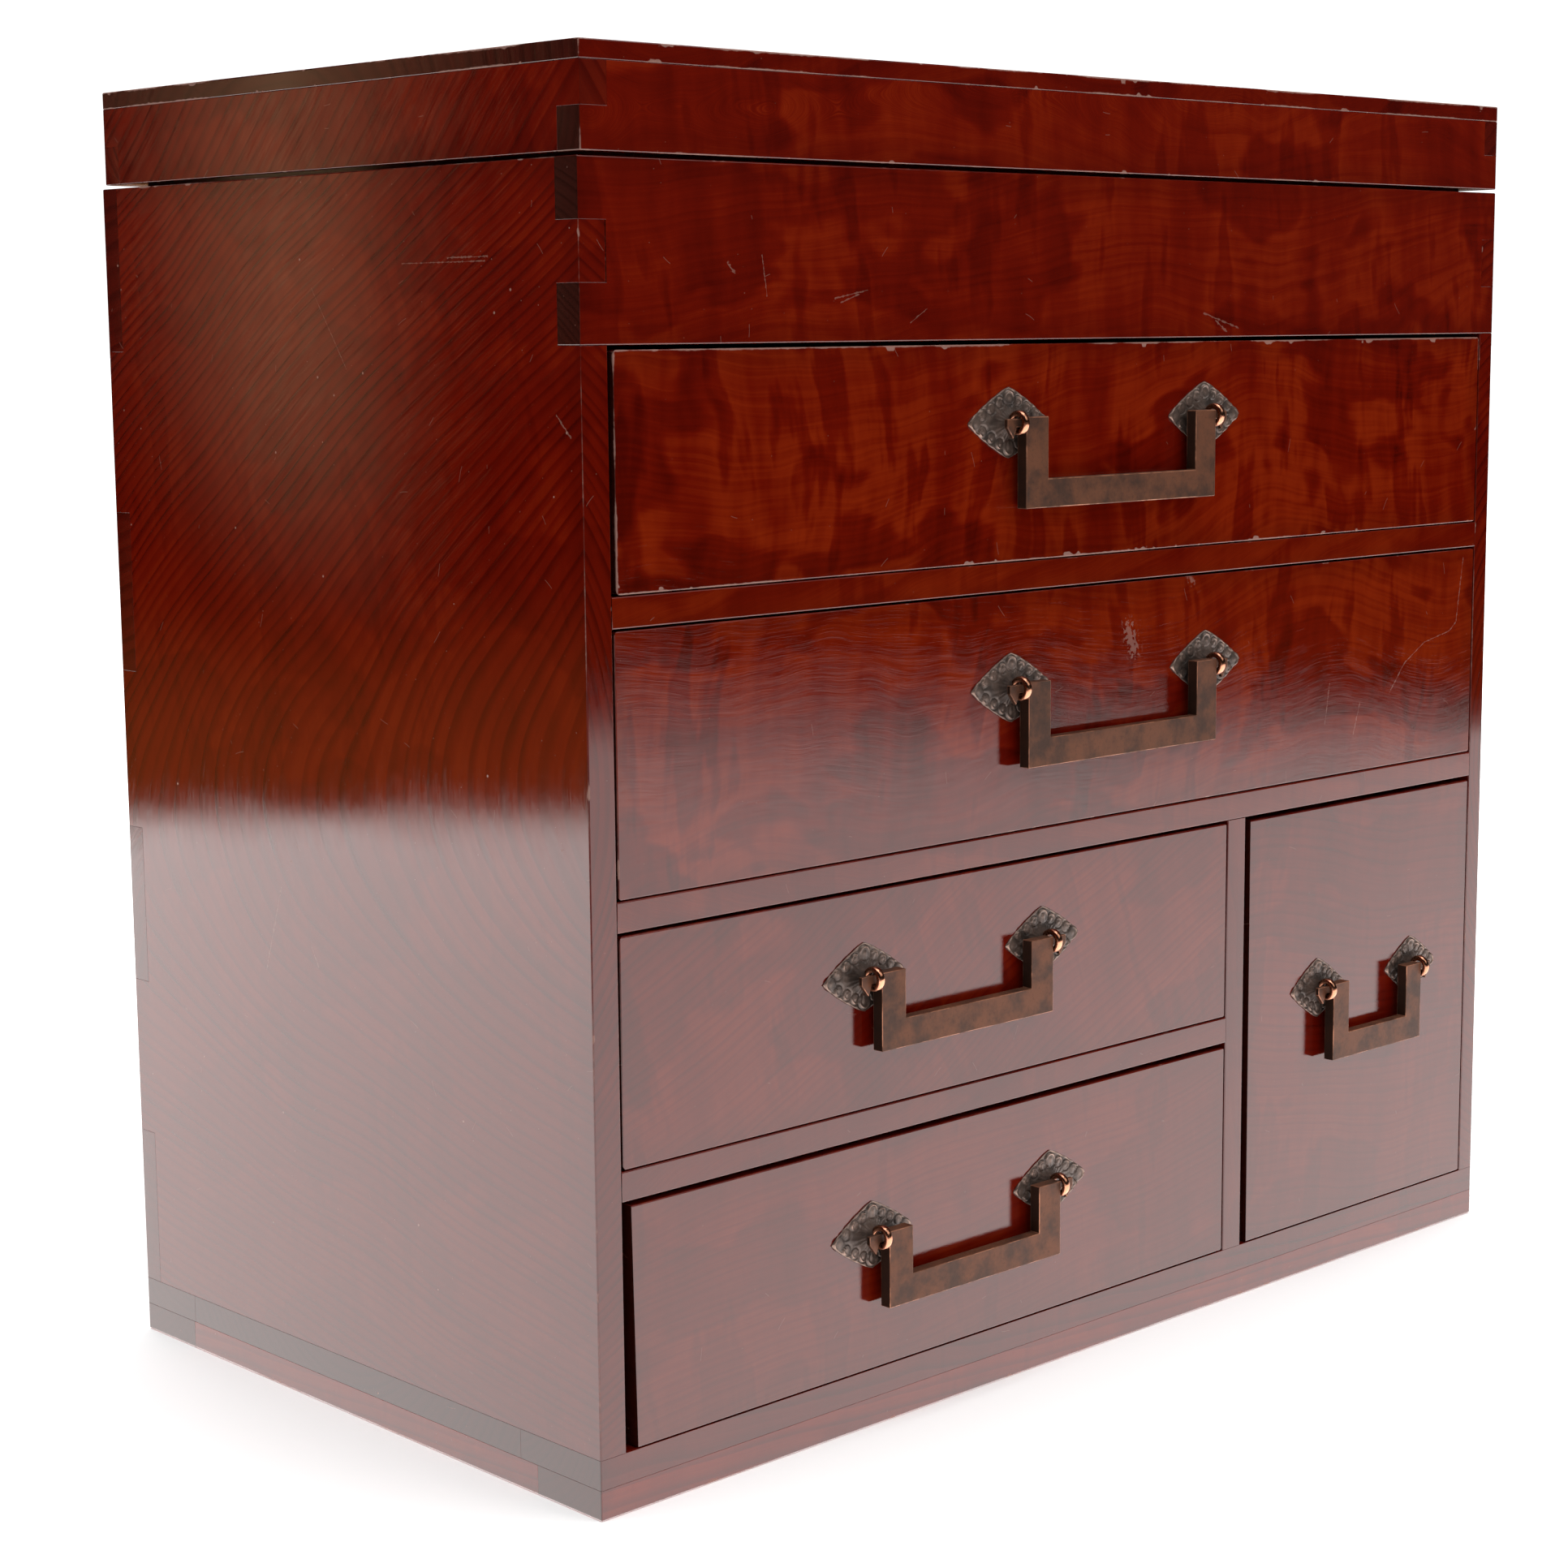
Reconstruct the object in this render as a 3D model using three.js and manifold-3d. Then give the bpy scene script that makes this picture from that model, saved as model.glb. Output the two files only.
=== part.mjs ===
// Tabletop chest of five drawers with a deep tray under a lift-off lid.
// Millimetres, +Z up. While it is built, X runs from the left face, Y from the front face
// towards the back, and Z from the table. The finished group is then moved so that its origin
// lies on the table under the middle of the whole outline, handles included.

import * as THREE from 'three';
import { mergeVertices } from 'three/addons/utils/BufferGeometryUtils.js';
import Module from 'manifold-3d';

const wasm = await Module();
wasm.setup();

// ---- Driving dimensions: the case ----

const WIDTH = 360;
const DEPTH = 200;
const LEFT_BOARD = 8; // thickness of each board of the case
const RIGHT_BOARD = 6.5;
const FASCIA_BOARD = 8;
const BACK_BOARD = 7;
const SHELF = 7.5;
const TRAY_FLOOR = 6;
const DIVIDER = 8;
const PLINTH_HEIGHT = 7.5;
const PLINTH_RAIL = 24; // width of the rails that make the plinth frame
const BOTTOM_BOARD = 7.5;
const BOTTOM_SEAMS = [30.5, 175.5]; // where the three boards of the bottom meet, from the front
const FASCIA_HEIGHT = 42;
const FULL_DRAWER_HEIGHTS = [57, 63.5]; // openings of the two full-width drawers, from the top
const SHORT_DRAWER_HEIGHTS = [57, 61.5]; // openings of the two stacked drawers at the left
const SHORT_DRAWER_WIDTH = 226.5;
const FASCIA_FINGERS = 3;
const BACK_FINGERS = 7;

// ---- Driving dimensions: the lid and the rim that it drops over ----

const LID_INSET = 1; // the lid has shrunk a little and sits against the right face
const LID_GAP = 1; // slit between the case and the lid
const LID_FRAME_HEIGHT = 20;
const LID_TOP = 4.5;
const LID_FINGERS = 2;
const RIM_THICKNESS = 4;
const RIM_DEPTH = 12; // how far the rim reaches down inside the case
const RIM_PLAY = 0.5; // between the rim and the lid's inner faces
const RIM_TOP_PLAY = 0.25;

// ---- Driving dimensions: the drawers ----

const DRAWER_LENGTH = 184;
const DRAWER_FRONT = 9;
const DRAWER_WALL = 5;
const DRAWER_BOTTOM = 3.5;
const DRAWER_PLAY = 0.25; // under the drawer
const WALL_DROP = 5; // the walls stop this far under the opening's top edge

// gaps are at the left, right and top edges of each front; lean is how much further its left
// edge stands off at the bottom than at the top
const DRAWERS = [
  {
    name: 'top_drawer', row: 'full', level: 0, gaps: { left: 1.5, right: 0.5, top: 1 }, lean: 0,
    handle: { span: 79.5, arm: 8.5, drop: 22, rise: 36, shift: 0.25, plate: [31, 18.5] },
  },
  {
    name: 'second_drawer', row: 'full', level: 1, gaps: { left: 0.5, right: 0.5, top: 0.5 }, lean: 0,
    handle: { span: 80, arm: 8.5, drop: 21, rise: 38.5, shift: 2.25, plate: [31, 18.5] },
  },
  {
    name: 'third_drawer', row: 'short', level: 0, gaps: { left: 0.5, right: 0.5, top: 0.75 }, lean: 0,
    handle: { span: 67, arm: 8.5, drop: 18.75, rise: 34.5, shift: 0.75, plate: [29.5, 18] },
  },
  {
    name: 'low_drawer', row: 'short', level: 1, gaps: { left: 2.75, right: 0.5, top: 1.25 }, lean: 1,
    handle: { span: 68, arm: 8.5, drop: 18.75, rise: 36, shift: 2, plate: [29.5, 18] },
  },
  {
    name: 'tall_drawer', row: 'tall', level: 0, gaps: { left: 2.25, right: 0.5, top: 1.25 }, lean: 0.5,
    handle: { span: 46.5, arm: 7.5, drop: 21.5, rise: 71, shift: 1.5, plate: [26, 18] },
  },
];

// ---- Driving dimensions: the handles ----

const PIVOT_PROUD = 3.75; // the pivot line stands this far in front of the drawer
const BAR_THICKNESS = 3.25;
const BAR_HEIGHT = 7.5; // of the crossbar at the foot of the bail
const ARM_RISE = 1.5; // the arms end this far above the pivot line
const EYE_RADIUS = 3.25;
const EYE_HOLE = 1.6;
const EYE_WIDTH = 2;
const EYE_CLEARANCE = 0.3; // beside the eye, on both sides of it
const PIN_HALF_HEIGHT = 1.1;
const PIN_THICKNESS = 1.2;
const PIN_TIP_WIDTH = 3.5; // the flattened end of the pin, outside the eye
const PIN_TIP_DROP = 4;
const PLATE_THICKNESS = 1;
const PLATE_CORNER = 0.15; // share of each side of the plate that its rounded points take up
const BOSS_RADIUS = 4.5;
const BOSS_HEIGHT = 0.6;
const BOSS_STEPS = 4;

// ---- Heights and places that follow ----

const bottomTop = PLINTH_HEIGHT + BOTTOM_BOARD;
const [upperShort, lowerShort] = SHORT_DRAWER_HEIGHTS;
const shelfLowerZ = bottomTop + lowerShort;
const shelfMiddleZ = shelfLowerZ + SHELF + upperShort;
const shelfUpperZ = shelfMiddleZ + SHELF + FULL_DRAWER_HEIGHTS[1];
const fasciaZ = shelfUpperZ + SHELF + FULL_DRAWER_HEIGHTS[0];
const caseTop = fasciaZ + FASCIA_HEIGHT;
const lidZ = caseTop + LID_GAP;
const lidTopZ = lidZ + LID_FRAME_HEIGHT;
const inside = {
  left: LEFT_BOARD,
  right: WIDTH - RIGHT_BOARD,
  front: FASCIA_BOARD,
  back: DEPTH - BACK_BOARD,
};
const dividerX = inside.left + SHORT_DRAWER_WIDTH;
const tallX = dividerX + DIVIDER;
const handleProud = PIVOT_PROUD + EYE_RADIUS;

// The opening that each drawer fills: its left and right sides, its floor and its top.
function openingOf({ row, level }) {
  if (row === 'tall') {
    return { left: tallX, right: inside.right, floor: bottomTop, top: shelfMiddleZ };
  }
  if (row === 'short') {
    const floor = level === 0 ? shelfLowerZ + SHELF : bottomTop;
    return { left: inside.left, right: dividerX, floor, top: floor + SHORT_DRAWER_HEIGHTS[level] };
  }
  const floor = level === 0 ? shelfUpperZ + SHELF : shelfMiddleZ + SHELF;
  return { left: inside.left, right: inside.right, floor, top: floor + FULL_DRAWER_HEIGHTS[level] };
}

// ---- Finishes ----

function finish(color, roughness, metalness) {
  return new THREE.MeshStandardMaterial({ color, roughness, metalness });
}

const lacqueredWood = finish(0x7a2b12, 0.25, 0);
const endGrain = finish(0x3c1a10, 0.4, 0);
const plainWood = finish(0xb98a5a, 0.6, 0);
const darkBronze = finish(0x5b4334, 0.38, 0.9);
const patinatedCopper = finish(0x8a6a50, 0.42, 0.9);

// ---- Making and joining solids ----

// Local axes of an outline: across it, up it, and the way that it is thickened.
const alongX = new THREE.Vector3(1, 0, 0);
const alongY = new THREE.Vector3(0, 1, 0);
const alongZ = new THREE.Vector3(0, 0, 1);
const FACING = {
  front: [alongX, alongZ, alongY.clone().negate()], // drawn as seen from the front, thickened forwards
  side: [alongY, alongZ, alongX], // drawn on the left face, thickened to the right
  flat: [alongX, alongY, alongZ], // drawn in plan, thickened upwards
};

function shapeOf(points) {
  return new THREE.Shape(points.map(([x, y]) => new THREE.Vector2(x, y)));
}

function thicken(shape, facing, thickness, curveSegments = 1) {
  const geometry = new THREE.ExtrudeGeometry(shape, {
    depth: thickness,
    steps: 1,
    bevelEnabled: false,
    curveSegments,
  });
  return geometry.applyMatrix4(new THREE.Matrix4().makeBasis(...FACING[facing]));
}

function box(low, high) {
  const size = high.map((value, axis) => value - low[axis]);
  const middle = high.map((value, axis) => (value + low[axis]) / 2);
  return new THREE.BoxGeometry(...size).translate(...middle);
}

function rectangle(low, high) {
  return [[low[0], low[1]], [high[0], low[1]], [high[0], high[1]], [low[0], high[1]]];
}

function solidOf(geometry) {
  const bare = geometry.clone();
  bare.deleteAttribute('normal');
  bare.deleteAttribute('uv');
  const merged = mergeVertices(bare, 1e-5);
  return new wasm.Manifold(new wasm.Mesh({
    numProp: 3,
    vertProperties: new Float32Array(merged.attributes.position.array),
    triVerts: new Uint32Array(merged.index.array),
  }));
}

function joined(geometries) {
  const whole = geometries.map(solidOf).reduce((sum, next) => sum.add(next));
  const { vertProperties, triVerts } = whole.getMesh();
  const geometry = new THREE.BufferGeometry();
  geometry.setAttribute('position', new THREE.BufferAttribute(vertProperties, 3));
  geometry.setIndex(new THREE.BufferAttribute(triVerts, 1));
  geometry.computeVertexNormals();
  return geometry;
}

function piece(name, geometry, material, position = [0, 0, 0]) {
  const mesh = new THREE.Mesh(geometry, material);
  mesh.name = name;
  mesh.position.set(...position);
  return mesh;
}

// ---- Finger joints ----

// One edge of a jointed board, from low to high: its fingers reach out to the face and its
// sockets stop at the neighbour's thickness. The lowest finger is out where startsOut is true.
function fingerEdge(low, high, count, out, socket, startsOut) {
  const pitch = (high - low) / count;
  const points = [];
  for (let k = 0; k < count; k += 1) {
    const reach = (k % 2 === 0) === startsOut ? out : socket;
    points.push([reach, low + k * pitch], [reach, low + (k + 1) * pitch]);
  }
  return points;
}

// A board with fingers at both ends, seen from the front.
function jointedFrontBoard(low, high, left, right, fingers) {
  const risingRight = fingerEdge(low, high, fingers, right.out, right.socket, true);
  const risingLeft = fingerEdge(low, high, fingers, left.out, left.socket, true);
  return shapeOf([...risingRight, ...risingLeft.reverse()]);
}

// ---- The case ----

function caseSide(name, start, thickness) {
  const fasciaEdge = fingerEdge(fasciaZ, caseTop, FASCIA_FINGERS, 0, inside.front, false);
  const backEdge = fingerEdge(bottomTop, caseTop, BACK_FINGERS, DEPTH, inside.back, false);
  const outline = [[0, bottomTop], [0, fasciaZ], ...fasciaEdge, ...backEdge.reverse()];
  return piece(name, thicken(shapeOf(outline), 'side', thickness), lacqueredWood, [start, 0, 0]);
}

function endsOf(left, right, leftBoard, rightBoard) {
  return [
    { out: left, socket: left + leftBoard },
    { out: right, socket: right - rightBoard },
  ];
}

function caseBoards() {
  const ends = endsOf(0, WIDTH, LEFT_BOARD, RIGHT_BOARD);
  const fascia = jointedFrontBoard(fasciaZ, caseTop, ...ends, FASCIA_FINGERS);
  const back = jointedFrontBoard(bottomTop, caseTop, ...ends, BACK_FINGERS);
  return [
    caseSide('side_left', 0, LEFT_BOARD),
    caseSide('side_right', inside.right, RIGHT_BOARD),
    piece('fascia_board', thicken(fascia, 'front', FASCIA_BOARD), lacqueredWood, [0, FASCIA_BOARD, 0]),
    piece('back_board', thicken(back, 'front', BACK_BOARD), lacqueredWood, [0, DEPTH, 0]),
  ];
}

function shelf(name, z, left, right, front = 0, thickness = SHELF) {
  const geometry = box([left, front, z], [right, inside.back, z + thickness]);
  return piece(name, geometry, lacqueredWood);
}

function shelves() {
  return [
    shelf('tray_floor', fasciaZ, inside.left, inside.right, inside.front, TRAY_FLOOR),
    shelf('shelf_upper', shelfUpperZ, inside.left, inside.right),
    shelf('shelf_middle', shelfMiddleZ, inside.left, inside.right),
    shelf('shelf_lower', shelfLowerZ, inside.left, dividerX),
    piece('divider', box([dividerX, 0, bottomTop], [tallX, inside.back, shelfMiddleZ]), lacqueredWood),
  ];
}

function base() {
  const names = ['bottom_front', 'bottom_middle', 'bottom_rear'];
  const seams = [0, ...BOTTOM_SEAMS, DEPTH];
  const boards = names.map((name, k) => {
    const geometry = box([0, seams[k], PLINTH_HEIGHT], [WIDTH, seams[k + 1], bottomTop]);
    return piece(name, geometry, lacqueredWood);
  });
  const frame = shapeOf(rectangle([0, 0], [WIDTH, DEPTH]));
  const hollow = rectangle([PLINTH_RAIL, PLINTH_RAIL], [WIDTH - PLINTH_RAIL, DEPTH - PLINTH_RAIL]);
  frame.holes.push(shapeOf(hollow));
  return [...boards, piece('plinth_frame', thicken(frame, 'flat', PLINTH_HEIGHT), endGrain)];
}

// ---- The rim and the lid ----

// A rectangular ring, between an outer and an inner rectangle.
function ring(outer, inner, low, high) {
  const shape = shapeOf(rectangle(...outer));
  shape.holes.push(shapeOf(rectangle(...inner)));
  return thicken(shape, 'flat', high - low).translate(0, 0, low);
}

function lidRim() {
  const wall = [[inside.left, inside.front], [inside.right, inside.back]];
  const hollow = [wall[0].map((v) => v + RIM_THICKNESS), wall[1].map((v) => v - RIM_THICKNESS)];
  const clear = [
    [Math.max(inside.left, LID_INSET + LEFT_BOARD) + RIM_PLAY, inside.front + RIM_PLAY],
    [inside.right - RIM_PLAY, inside.back - RIM_PLAY],
  ];
  const foot = caseTop - RIM_DEPTH;
  const geometry = joined([
    ring(wall, hollow, foot, caseTop),
    ring(clear, hollow, foot + RIM_DEPTH / 2, lidTopZ - RIM_TOP_PLAY),
  ]);
  return piece('lid_rim', geometry, lacqueredWood);
}

// The end boards of the lid fill the sockets of its front and rear boards.
function lidEnd(name, start, thickness) {
  const frontEdge = fingerEdge(lidZ, lidTopZ, LID_FINGERS, 0, inside.front, false);
  const rearEdge = fingerEdge(lidZ, lidTopZ, LID_FINGERS, DEPTH, inside.back, false);
  const outline = shapeOf([...frontEdge, ...rearEdge.reverse()]);
  return piece(name, thicken(outline, 'side', thickness), lacqueredWood, [start, 0, 0]);
}

function lid() {
  const ends = endsOf(LID_INSET, WIDTH, LEFT_BOARD, RIGHT_BOARD);
  const long = jointedFrontBoard(lidZ, lidTopZ, ...ends, LID_FINGERS);
  const group = new THREE.Group();
  group.add(
    piece('lid_top', box([LID_INSET, 0, lidTopZ], [WIDTH, DEPTH, lidTopZ + LID_TOP]), lacqueredWood),
    piece('lid_front', thicken(long, 'front', FASCIA_BOARD), lacqueredWood, [0, FASCIA_BOARD, 0]),
    piece('lid_rear', thicken(long, 'front', BACK_BOARD), lacqueredWood, [0, DEPTH, 0]),
    lidEnd('lid_left', LID_INSET, LEFT_BOARD),
    lidEnd('lid_right', inside.right, RIGHT_BOARD),
  );
  return group;
}

// ---- Handles: drawn round the pivot line, X from the middle of the bail ----

// A diamond of the given overall size, whose four points are rounded off.
function diamond([width, height]) {
  const reach = 1 / (1 - PLATE_CORNER / 2); // the sharp points lie this much further out
  const points = [[width, 0], [0, height], [-width, 0], [0, -height]];
  const tips = points.map(([x, z]) => new THREE.Vector2(x, z).multiplyScalar(reach / 2));
  const shape = new THREE.Shape();
  tips.forEach((tip, k) => {
    const next = tips[(k + 1) % tips.length];
    const last = tips[(k + tips.length - 1) % tips.length];
    const enter = tip.clone().lerp(last, PLATE_CORNER);
    const leave = tip.clone().lerp(next, PLATE_CORNER);
    if (k === 0) {
      shape.moveTo(enter.x, enter.y);
    } else {
      shape.lineTo(enter.x, enter.y);
    }
    shape.quadraticCurveTo(tip.x, tip.y, leave.x, leave.y);
  });
  shape.closePath();
  return shape;
}

// The low round boss under the eye, turned round the line that the eye's shank goes in by.
function boss() {
  const foot = -PLATE_THICKNESS / 2;
  const points = [new THREE.Vector2(0, foot), new THREE.Vector2(BOSS_RADIUS, foot)];
  for (let k = 0; k < BOSS_STEPS; k += 1) {
    const turn = (k / BOSS_STEPS) * (Math.PI / 2);
    points.push(new THREE.Vector2(BOSS_RADIUS * Math.cos(turn), BOSS_HEIGHT * Math.sin(turn)));
  }
  points.push(new THREE.Vector2(0, BOSS_HEIGHT));
  return new THREE.LatheGeometry(points, 16).rotateZ(Math.PI).translate(0, -PLATE_THICKNESS, 0);
}

function eye() {
  const shape = new THREE.Shape();
  shape.absarc(0, 0, EYE_RADIUS, 0, Math.PI * 2, false);
  const hole = new THREE.Path();
  hole.absarc(0, 0, EYE_HOLE, 0, Math.PI * 2, true);
  shape.holes.push(hole);
  return thicken(shape, 'side', EYE_WIDTH, 10).translate(-EYE_WIDTH / 2, -PIVOT_PROUD, 0);
}

// A diamond plate with its boss and the eye that the pin of the bail turns in.
function handlePlate(name, { plate }, x) {
  const back = thicken(diamond(plate), 'front', PLATE_THICKNESS, 4);
  const geometry = joined([back, boss(), eye()]);
  return piece(name, geometry, patinatedCopper, [x, 0, 0]);
}

// A flat bar bent square, with a flattened pin at the top of each arm that points outwards.
function bail(name, { span, arm, drop }) {
  const outer = span / 2 - EYE_WIDTH / 2 - EYE_CLEARANCE;
  const inner = outer - arm;
  const bar = shapeOf([
    [-outer, ARM_RISE], [-outer, -drop], [outer, -drop], [outer, ARM_RISE],
    [inner, ARM_RISE], [inner, BAR_HEIGHT - drop], [-inner, BAR_HEIGHT - drop], [-inner, ARM_RISE],
  ]);
  const tipStart = outer + EYE_WIDTH + 2 * EYE_CLEARANCE;
  const tipEnd = tipStart + PIN_TIP_WIDTH;
  const pins = [-1, 1].map((side) => {
    const outline = [
      [outer - arm / 2, PIN_HALF_HEIGHT], [tipEnd, PIN_HALF_HEIGHT], [tipEnd, -PIN_HALF_HEIGHT],
      [tipStart + PIN_TIP_WIDTH / 3, -PIN_TIP_DROP], [tipStart, -PIN_HALF_HEIGHT],
      [outer - arm / 2, -PIN_HALF_HEIGHT],
    ];
    const pin = shapeOf(outline.map(([x, z]) => [side * x, z]));
    return thicken(pin, 'front', PIN_THICKNESS).translate(0, PIN_THICKNESS / 2, 0);
  });
  const geometry = joined([
    thicken(bar, 'front', BAR_THICKNESS).translate(0, BAR_THICKNESS / 2, 0),
    ...pins,
  ]);
  return piece(name, geometry, darkBronze, [0, -PIVOT_PROUD, 0]);
}

// ---- Drawers: drawn from the opening's front left foot ----

function drawer(spec) {
  const { name, gaps, lean, handle } = spec;
  const opening = openingOf(spec);
  const right = opening.right - opening.left - gaps.right;
  const top = opening.top - opening.floor - gaps.top;
  const wallLeft = gaps.left + lean;
  const wallFoot = DRAWER_PLAY + DRAWER_BOTTOM;
  const wallTop = opening.top - opening.floor - WALL_DROP;
  const back = DRAWER_LENGTH - DRAWER_WALL;
  const front = shapeOf([[wallLeft, DRAWER_PLAY], [right, DRAWER_PLAY], [right, top], [gaps.left, top]]);
  const panels = {
    left: [[wallLeft, DRAWER_FRONT, wallFoot], [wallLeft + DRAWER_WALL, DRAWER_LENGTH, wallTop]],
    right: [[right - DRAWER_WALL, DRAWER_FRONT, wallFoot], [right, DRAWER_LENGTH, wallTop]],
    back: [[wallLeft + DRAWER_WALL, back, wallFoot], [right - DRAWER_WALL, DRAWER_LENGTH, wallTop]],
    bottom: [[wallLeft, DRAWER_FRONT, DRAWER_PLAY], [right, DRAWER_LENGTH, wallFoot]],
  };
  const middle = (wallLeft + right) / 2 + handle.shift;
  const grip = new THREE.Group();
  grip.position.set(middle, 0, handle.rise);
  grip.add(
    handlePlate(`${name}_plate_left`, handle, -handle.span / 2),
    handlePlate(`${name}_plate_right`, handle, handle.span / 2),
    bail(`${name}_bail`, handle),
  );
  const group = new THREE.Group();
  group.position.set(opening.left, 0, opening.floor);
  group.add(
    piece(`${name}_front`, thicken(front, 'front', DRAWER_FRONT), lacqueredWood, [0, DRAWER_FRONT, 0]),
    ...Object.entries(panels).map(([panel, ends]) => piece(`${name}_${panel}`, box(...ends), plainWood)),
    grip,
  );
  return group;
}

// ---- The whole cabinet ----

const cabinet = new THREE.Group();
cabinet.add(...caseBoards(), ...shelves(), ...base(), lidRim(), lid(), ...DRAWERS.map(drawer));
cabinet.position.set(-WIDTH / 2, -(DEPTH - handleProud) / 2, 0);

export default cabinet;
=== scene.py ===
"""Looks of a lacquered apothecary cabinet: five drawers, swinging handles and a lid that lifts off.

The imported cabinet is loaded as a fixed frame. Boards, handles, finishes, lights and camera are
built around it, in metres, with the front of the cabinet towards -Y and its left side towards -X.
"""

import math
from typing import NamedTuple

import bmesh
import bpy
from bpy.props import FloatProperty, FloatVectorProperty, IntProperty, PointerProperty
from mathutils import Euler, Matrix, Vector, noise


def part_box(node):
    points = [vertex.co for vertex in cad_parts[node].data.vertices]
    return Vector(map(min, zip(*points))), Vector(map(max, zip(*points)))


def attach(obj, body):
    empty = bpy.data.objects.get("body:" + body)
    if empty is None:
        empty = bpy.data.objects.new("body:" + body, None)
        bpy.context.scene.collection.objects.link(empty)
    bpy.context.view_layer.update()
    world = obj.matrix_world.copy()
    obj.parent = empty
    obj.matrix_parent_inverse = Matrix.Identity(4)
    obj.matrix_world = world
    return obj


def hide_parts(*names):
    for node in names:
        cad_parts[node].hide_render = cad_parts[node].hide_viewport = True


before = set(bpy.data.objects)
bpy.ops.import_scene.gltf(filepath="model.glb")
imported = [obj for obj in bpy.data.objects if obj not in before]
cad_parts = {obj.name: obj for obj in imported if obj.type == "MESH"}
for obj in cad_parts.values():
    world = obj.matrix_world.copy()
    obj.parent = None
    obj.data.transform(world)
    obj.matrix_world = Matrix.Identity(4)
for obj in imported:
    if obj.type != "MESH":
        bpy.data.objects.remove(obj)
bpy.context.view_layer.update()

bl_info = {
    "name": "Apothecary Cabinet",
    "version": (1, 0, 0),
    "blender": (4, 5, 0),
    "location": "View3D > Sidebar > Cabinet",
    "description": "Boards, handles, finishes and studio of a lacquered apothecary cabinet",
    "category": "Object",
}

MM = 0.001
FAR = 1.0  # metres: pushes a closed side of a board out of reach of the wear
WELD = 1e-6
SQUARE = 0.99  # least length along an axis of a direction that counts as square to the others
AXES = {"X": Vector((1, 0, 0)), "Y": Vector((0, 1, 0)), "Z": Vector((0, 0, 1))}
SIDES = {"left": (0, 0), "right": (0, 1), "front": (1, 0), "back": (1, 1), "under": (2, 0), "top": (2, 1)}
DRAWERS = ("top", "second", "third", "low", "tall")

case_low, case_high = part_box("side_left")[0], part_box("side_right")[1]


def place(x, y, z):
    """A point given in millimetres from the case's lower, front, left corner."""
    return Vector((case_low.x + x * MM, case_low.y + y * MM, z * MM))


def row(x, y, z):
    """A vector given in millimetres."""
    return Vector((x, y, z)) * MM


# ---- Settings that a user would change ----


def length(name, description, metres):
    """A setting for a length."""
    return FloatProperty(name=name, description=description, default=metres, unit="LENGTH")


def tint(name, description, colour):
    """A setting for a colour."""
    return FloatVectorProperty(name=name, description=description, default=colour, subtype="COLOR")


class WoodSettings(bpy.types.PropertyGroup):
    """Arrises and colours of the wood."""

    arris: length("Arris", "Width that handling has taken off an open edge", 0.38 * MM)
    seam: length("Seam", "Width of the tiny bevel along a glued joint", 0.08 * MM)
    corner: length("Corner", "Radius of the four worn corners of a drawer front", 1.3 * MM)
    ring_line: tint("Ring lines", "Darkest colour of the lacquered figure", (0.020, 0.0011, 0.0005))
    shade: tint("Shade", "Deep red of the lacquered figure", (0.068, 0.0022, 0.0006))
    body: tint("Body", "Red-brown of the lacquered figure", (0.130, 0.0049, 0.0010))
    glow: tint("Glow", "Orange of the lacquered figure", (0.25, 0.022, 0.0032))
    end_grain: tint("End grain", "Lacquer soaked into end grain", (0.030, 0.0072, 0.0046))
    worn: tint("Worn", "Bare, rubbed wood along an open edge", (0.36, 0.20, 0.16))
    inner_light: tint("Drawer wood", "Unlacquered wood of the drawer boxes", (0.50, 0.33, 0.185))
    inner_dark: tint("Drawer wood lines", "Ring lines of the unlacquered wood", (0.27, 0.15, 0.075))


class HandleSettings(bpy.types.PropertyGroup):
    """Backplates, eyes and bails."""

    plate_rim: length("Plate rim", "Thickness of a backplate at its edge", 0.4 * MM)
    plate_border: length("Plate border", "Width of the plain border of a backplate", 0.8 * MM)
    lobe_relief: length("Lobe relief", "Height of the crescents stamped round a backplate", 0.40 * MM)
    corner_lobe: length(
        "Corner lobe", "Radius of the lobes at the four points of a backplate", 2.0 * MM)
    side_lobe: length("Side lobe", "Radius of the lobes between the points of a backplate", 1.4 * MM)
    side_lobes: IntProperty(
        name="Lobes a side", description="How many lobes stand between two points of a backplate",
        default=3)
    eye_hole: length("Eye hole", "Radius of the hole in an eye", 1.6 * MM)
    eye_width: length("Eye width", "Width of the copper strip of an eye", 2.0 * MM)
    bronze: tint("Bronze", "Brown patina of the bails", (0.150, 0.060, 0.033))
    bronze_dark: tint("Dark bronze", "Darkest patches of the bails", (0.060, 0.032, 0.023))
    copper: tint("Copper", "Bright copper where a handle is rubbed", (0.78, 0.36, 0.22))
    plate: tint("Backplate", "Grey-brown patina of the backplates", (0.105, 0.072, 0.058))


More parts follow.
